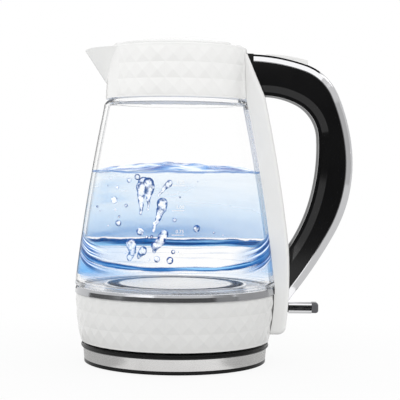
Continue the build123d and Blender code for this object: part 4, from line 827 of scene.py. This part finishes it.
depth = ((SURFACE_Z - height) / (SURFACE_Z - LEVEL_Z)).clamped()
left = (-x).rising(-0.05, 0.111)
far_left = (-x).rising(0.00714, 0.0714)
above = from_level.rising(LEVEL_HALF + 0.6, 0.9)
level_band = ribbon(level_z, LEVEL_HALF - 0.5 + ripple * 3.0, 0.8) * back
bowl_band = ribbon(bowl_z, 1.0 + flank * 1.6 + ripple * 2.0, 1.0) * front
at_flank = flank.rising(0.1765, 0.294) * facing.rising(-0.08, 0.2)
strands = ((1 - abs(from_bowl - STRAND_LIFT) / STRAND_REACH) * 3.0).clamped() * at_flank
shade = (-from_bowl).rising(0.0, 4.0) * height.rising(SHADE_FOOT_Z, 8.0) * front
between = (-from_level).rising(0.0, 4.0) * from_bowl.rising(0.0, 4.0) * front * far_left
top = height.rising(SURFACE_Z, 0.6)
rim_line = ribbon(SURFACE_Z - 0.9 + ripple * 4.0 + roll * 3.0, 0.3, 0.9)
print("masks: body, level, bowl, strands, shade, between, surface, rim")

# %% [markdown]
# Each zone gets a colour and a cover, which is how much of what lies behind it the water hides. The front half stays
# almost clear, so that the eye looks through it at the bubbles and at the blue of the back half.

# %% Water colours
BODY_STOPS = ((0.0, colour(200, 232, 250)), (0.45, colour(150, 204, 242)), (1.0, colour(78, 146, 208)))
BAND_STOPS = ((0.38, colour(0, 62, 124)), (0.52, colour(16, 98, 170)), (0.66, colour(150, 206, 240)))
STRAND_STOPS = ((0.43, colour(0, 58, 122)), (0.51, colour(36, 114, 190)), (0.58, colour(226, 238, 250)))
TOP_STOPS = ((0.40, colour(30, 86, 166)), (0.50, colour(108, 162, 220)), (0.60, colour(238, 247, 253)))
RIM_BLUE = colour(40, 96, 172)

body_fac = (depth ** 1.4 * 0.8 + sheets * (0.12 + left * 0.3)).clamped()
tone = by_stops(BODY_STOPS, body_fac)
for share, second in (
    (strands, by_stops(STRAND_STOPS, strand_grain)),
    (level_band, by_stops(BAND_STOPS, grain)),
    (bowl_band, by_stops(BAND_STOPS, bowl_grain - 0.02)),
    (top, by_stops(TOP_STOPS, noise_at(70.0, 3.0, (0.5, 1.0, 1.0)))),
    (rim_line * 0.85, RIM_BLUE),
):
    tone = blended(share, tone, second)

cover = above * (front * 0.06 + back * (0.16 + depth ** 1.3 * (0.40 + left * 0.16) + sheets * (0.06 + left * 0.22)))
cover = cover.larger(shade * (0.03 + flank * 0.8 + far_left * 0.85)).larger(back * fine * 0.25)
for mask, most in (
    (strands, 0.97), (level_band, 0.98), (bowl_band, 0.98), (between, 0.7), (top, 0.75), (rim_line, 0.7),
):
    cover = cover.larger(mask * most)
surface = net.node(
    "ShaderNodeBsdfPrincipled",
    sockets={
        "Base Color": tone,
        "Roughness": 0.08,
        "IOR": 1.33,
        "Specular IOR Level": 0.15,
        "Alpha": cover,
        # The water glows a little in its own colours: a painted glow that keeps it bright inside the jar.
        "Emission Color": tone,
        "Emission Strength": 0.35,
    },
)
send_out(net, surface)
finish_piece(water, "kettle", material)

# %% [markdown]
# ## Bubbles
#
# Steam rises from the plate in bubbles and torn plumes. A single bubble is a ball that is drawn out downwards into a
# drop. A plume is a string of drops that grow as they rise, melted together by a voxel Remesh. One function makes
# every drop, at its own size, stretch and lean.

# %% Drops and plumes
PLUME_JITTER = 0.35
PLUME_VOXEL = 0.45
random.seed(7)


def drop(size, place, stretch=1.25, lean=0.0):
    """A bubble of a size in millimetres, drawn out downwards and leaning to one side."""
    clear_selection()
    bpy.ops.mesh.primitive_uv_sphere_add(segments=20, ring_count=12, radius=size * MM)
    bubble = bpy.context.object
    bpy.ops.object.mode_set(mode="EDIT")
    bpy.ops.mesh.select_mode(type="VERT")
    bpy.ops.mesh.select_all(action="DESELECT")
    bpy.ops.object.mode_set(mode="OBJECT")
    for vertex in bubble.data.vertices:
        vertex.select = vertex.co.z < 0
    bpy.ops.object.mode_set(mode="EDIT")
    bpy.ops.transform.resize(value=(1, 1, stretch), center_override=(0, 0, 0))
    bpy.ops.mesh.select_all(action="SELECT")
    bpy.ops.transform.rotate(value=-lean, orient_axis="Y", center_override=(0, 0, 0))
    bpy.ops.transform.translate(value=[value * MM for value in place])
    bpy.ops.object.mode_set(mode="OBJECT")
    return bubble


def joined(name, parts):
    clear_selection()
    for part in parts:
        part.select_set(True)
    bpy.context.view_layer.objects.active = parts[0]
    bpy.ops.object.join()
    whole = bpy.context.object
    whole.name = name
    return whole


def plume(name, foot, head, foot_size, head_size, count):
    """A torn string of bubbles from foot to head, which are x, y, z in millimetres."""
    parts = []
    for step in range(count):
        share = step / (count - 1)
        size = foot_size + (head_size - foot_size) * share ** 1.5
        place = [a + (b - a) * share for a, b in zip(foot, head)]
        place[0] += random.uniform(-PLUME_JITTER, PLUME_JITTER) * size
        place[1] += random.uniform(-PLUME_JITTER, PLUME_JITTER) * size
        parts.append(drop(size, place, 1.5))
    whole = joined(name, parts)
    apply_modifier(whole, "REMESH", mode="VOXEL", voxel_size=PLUME_VOXEL * MM)
    apply_modifier(whole, "SMOOTH", factor=0.5, iterations=4)
    return whole


plumes = [
    plume("plume_left", (-25.0, -36, 113.8), (-23.5, -34, 135.3), 1.3, 4.6, 9),
    plume("plume_right", (-20.0, -36, 116.3), (-18.5, -34, 135.3), 0.8, 4.2, 9),
    plume("plume_slant", (-12.5, -36, 126.3), (-5.0, -36, 135.8), 0.8, 2.2, 8),
    plume("plume_middle", (-15.4, -38, 101.3), (-9.5, -36, 120.8), 1.2, 4.0, 9),
    plume("plume_low", (-32.3, -36, 81.3), (-30.5, -38, 91.3), 2.2, 3.8, 5),
    plume("plume_torn", (-26.0, -32, 81.8), (-23.0, -34, 86.3), 1.6, 2.8, 4),
    plume("plume_rising", (-13.5, -38, 90.3), (-7.5, -38, 98.3), 3.0, 3.2, 5),
]
SINGLE_BUBBLES = (
    (-44.2, 123.0, 2.3), (-42.2, 132.1, 1.1), (-35.8, 118.8, 1.2), (-41.2, 106.1, 2.1), (-41.0, 110.6, 0.9),
    (-43.4, 115.8, 0.8), (-0.4, 108.9, 1.5), (15.8, 102.7, 2.5), (-25.4, 100.2, 2.7), (-1.1, 85.6, 1.5),
    (2.1, 85.6, 0.8), (-3.5, 79.2, 2.5), (-13.0, 79.8, 2.2), (-18.9, 79.1, 0.9), (-27.8, 139.8, 2.1),
    (-33.8, 137.3, 1.6), (-58.0, 117.3, 0.8), (3.4, 125.2, 0.6), (28.2, 99.7, 0.8), (-20.4, 96.2, 1.2),
    (-17.0, 96.2, 1.2), (-15.0, 85.8, 1.4), (-36.2, 84.3, 0.9), (-46.5, 138.3, 0.5), (-49.0, 133.3, 0.5),
    (-56.0, 114.3, 0.5), (16.3, 136.8, 0.4), (22.3, 136.8, 0.5), (35.0, 97.9, 0.5), (-50.0, 103.3, 0.5),
)
singles = []
for px, pz, size in SINGLE_BUBBLES:
    depth_y = -34 - random.uniform(0, 6) if abs(px) < 50 else -20
    singles.append(drop(size, (px, depth_y, pz), 1.2, random.uniform(-0.4, 0.4)))
bubbles = joined("bubbles", plumes + singles)
smooth(bubbles)
print("bubbles:", len(singles), "plumes:", len(plumes))

# %% [markdown]
# A bubble in water is clear in the middle and dark at its rim, where its skin turns the light away. Layer Weight
# tells rim from middle, and mixes a deep blue skin with clear film. A noise paints dark shade patches into the skin and
# places the film, which glows white as a painted highlight; the skin glows faintly too.

# %% Bubble finish
material, net = new_finish("bubble_skin")
painted_light_mottle = noise(net, object_place(net), 330.0)
rim = net.node("ShaderNodeLayerWeight", sockets={"Blend": 0.5}, output=1)
SKIN_STOPS = ((0.40, colour(0, 70, 146)), (0.56, colour(24, 108, 188)), (0.70, colour(206, 226, 246)))
skin = by_stops(SKIN_STOPS, painted_light_mottle)
edge = net.node(
    "ShaderNodeBsdfPrincipled",
    sockets={
        "Base Color": skin,
        "Roughness": 0.3,
        "Specular IOR Level": 0.05,
        # The skin glows faintly in its own blue: painted light.
        "Emission Color": skin,
        "Emission Strength": 0.12,
    },
)
painted_highlight_film = net.node(
    "ShaderNodeBsdfPrincipled",
    sockets={
        "Base Color": colour(252, 253, 255),
        "Roughness": 0.03,
        "Alpha": painted_light_mottle.rising(0.3, 0.385),
        # The film glows white: a painted highlight.
        "Emission Color": (1, 1, 1, 1),
        "Emission Strength": 0.4,
    },
)
# Painted shade: where the noise is low, the dark skin shows inside the bubble as well as at its rim.
share = ((rim - 0.15) * 2.6 + (0.5 - painted_light_mottle) * 4.5).clamped()
send_out(net, net.node("ShaderNodeMixShader", sockets={0: share, 1: painted_highlight_film, 2: edge}))
finish_piece(bubbles, "kettle", material)

# %% [markdown]
# ## Volume lines
#
# Four short lines with litre numbers are printed on the front of the jar. Each is made flat as text and a thin bar,
# turned to stand upright, made a mesh, and then wrapped onto the glass with a Shrinkwrap modifier.

# %% Printed marks
MARKS = (("1.25", 134.2), ("1.00", 116.7), ("0.75", 99.7), ("0.50", 84.3))
MARK_RIGHT = 7.0
MARK_TEXT = 3.4
MARK_BAR = (8.6, 0.45)
MARK_TEXT_LIFT = 1.3
MARK_START_Y = -90.0
MARK_THICKNESS = 0.05

white_print, net = new_finish("print_white")
wear = noise(net, object_place(net), 900.0)
ink = net.node(
    "ShaderNodeBsdfPrincipled",
    sockets={"Base Color": colour(252, 252, 252), "Roughness": 0.5, "Alpha": (0.75 + wear * 0.4).clamped()},
)
send_out(net, ink)


def standing_text(words, right, foot):
    clear_selection()
    bpy.ops.object.text_add(location=(right * MM, MARK_START_Y * MM, foot * MM), rotation=UPRIGHT)
    text = bpy.context.object
    text.data.body = words
    text.data.size = MARK_TEXT * MM
    text.data.align_x = "RIGHT"
    bpy.ops.object.convert(target="MESH")
    bpy.ops.object.transform_apply(location=True, rotation=True, scale=True)
    return bpy.context.object


def printed_bar(right, z):
    clear_selection()
    bpy.ops.mesh.primitive_grid_add(x_subdivisions=12, y_subdivisions=1, size=1.0, rotation=UPRIGHT)
    bar = bpy.context.object
    bar.scale = (MARK_BAR[0] * MM, MARK_BAR[1] * MM, 1.0)
    bar.location = ((right - MARK_BAR[0] / 2) * MM, MARK_START_Y * MM, z * MM)
    bpy.ops.object.transform_apply(location=True, rotation=True, scale=True)
    return bar


printed = []
for words, z in MARKS:
    printed.append(standing_text(words, MARK_RIGHT, z + MARK_TEXT_LIFT))
    printed.append(printed_bar(MARK_RIGHT, z))
marks = joined("volume_marks", printed)
apply_modifier(
    marks, "SHRINKWRAP", target=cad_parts["glass_jar"], wrap_method="PROJECT", use_project_y=True,
    use_project_x=False, use_project_z=False, use_positive_direction=True, use_negative_direction=False,
    offset=MARK_THICKNESS * MM,
)
finish_piece(marks, "kettle", white_print)
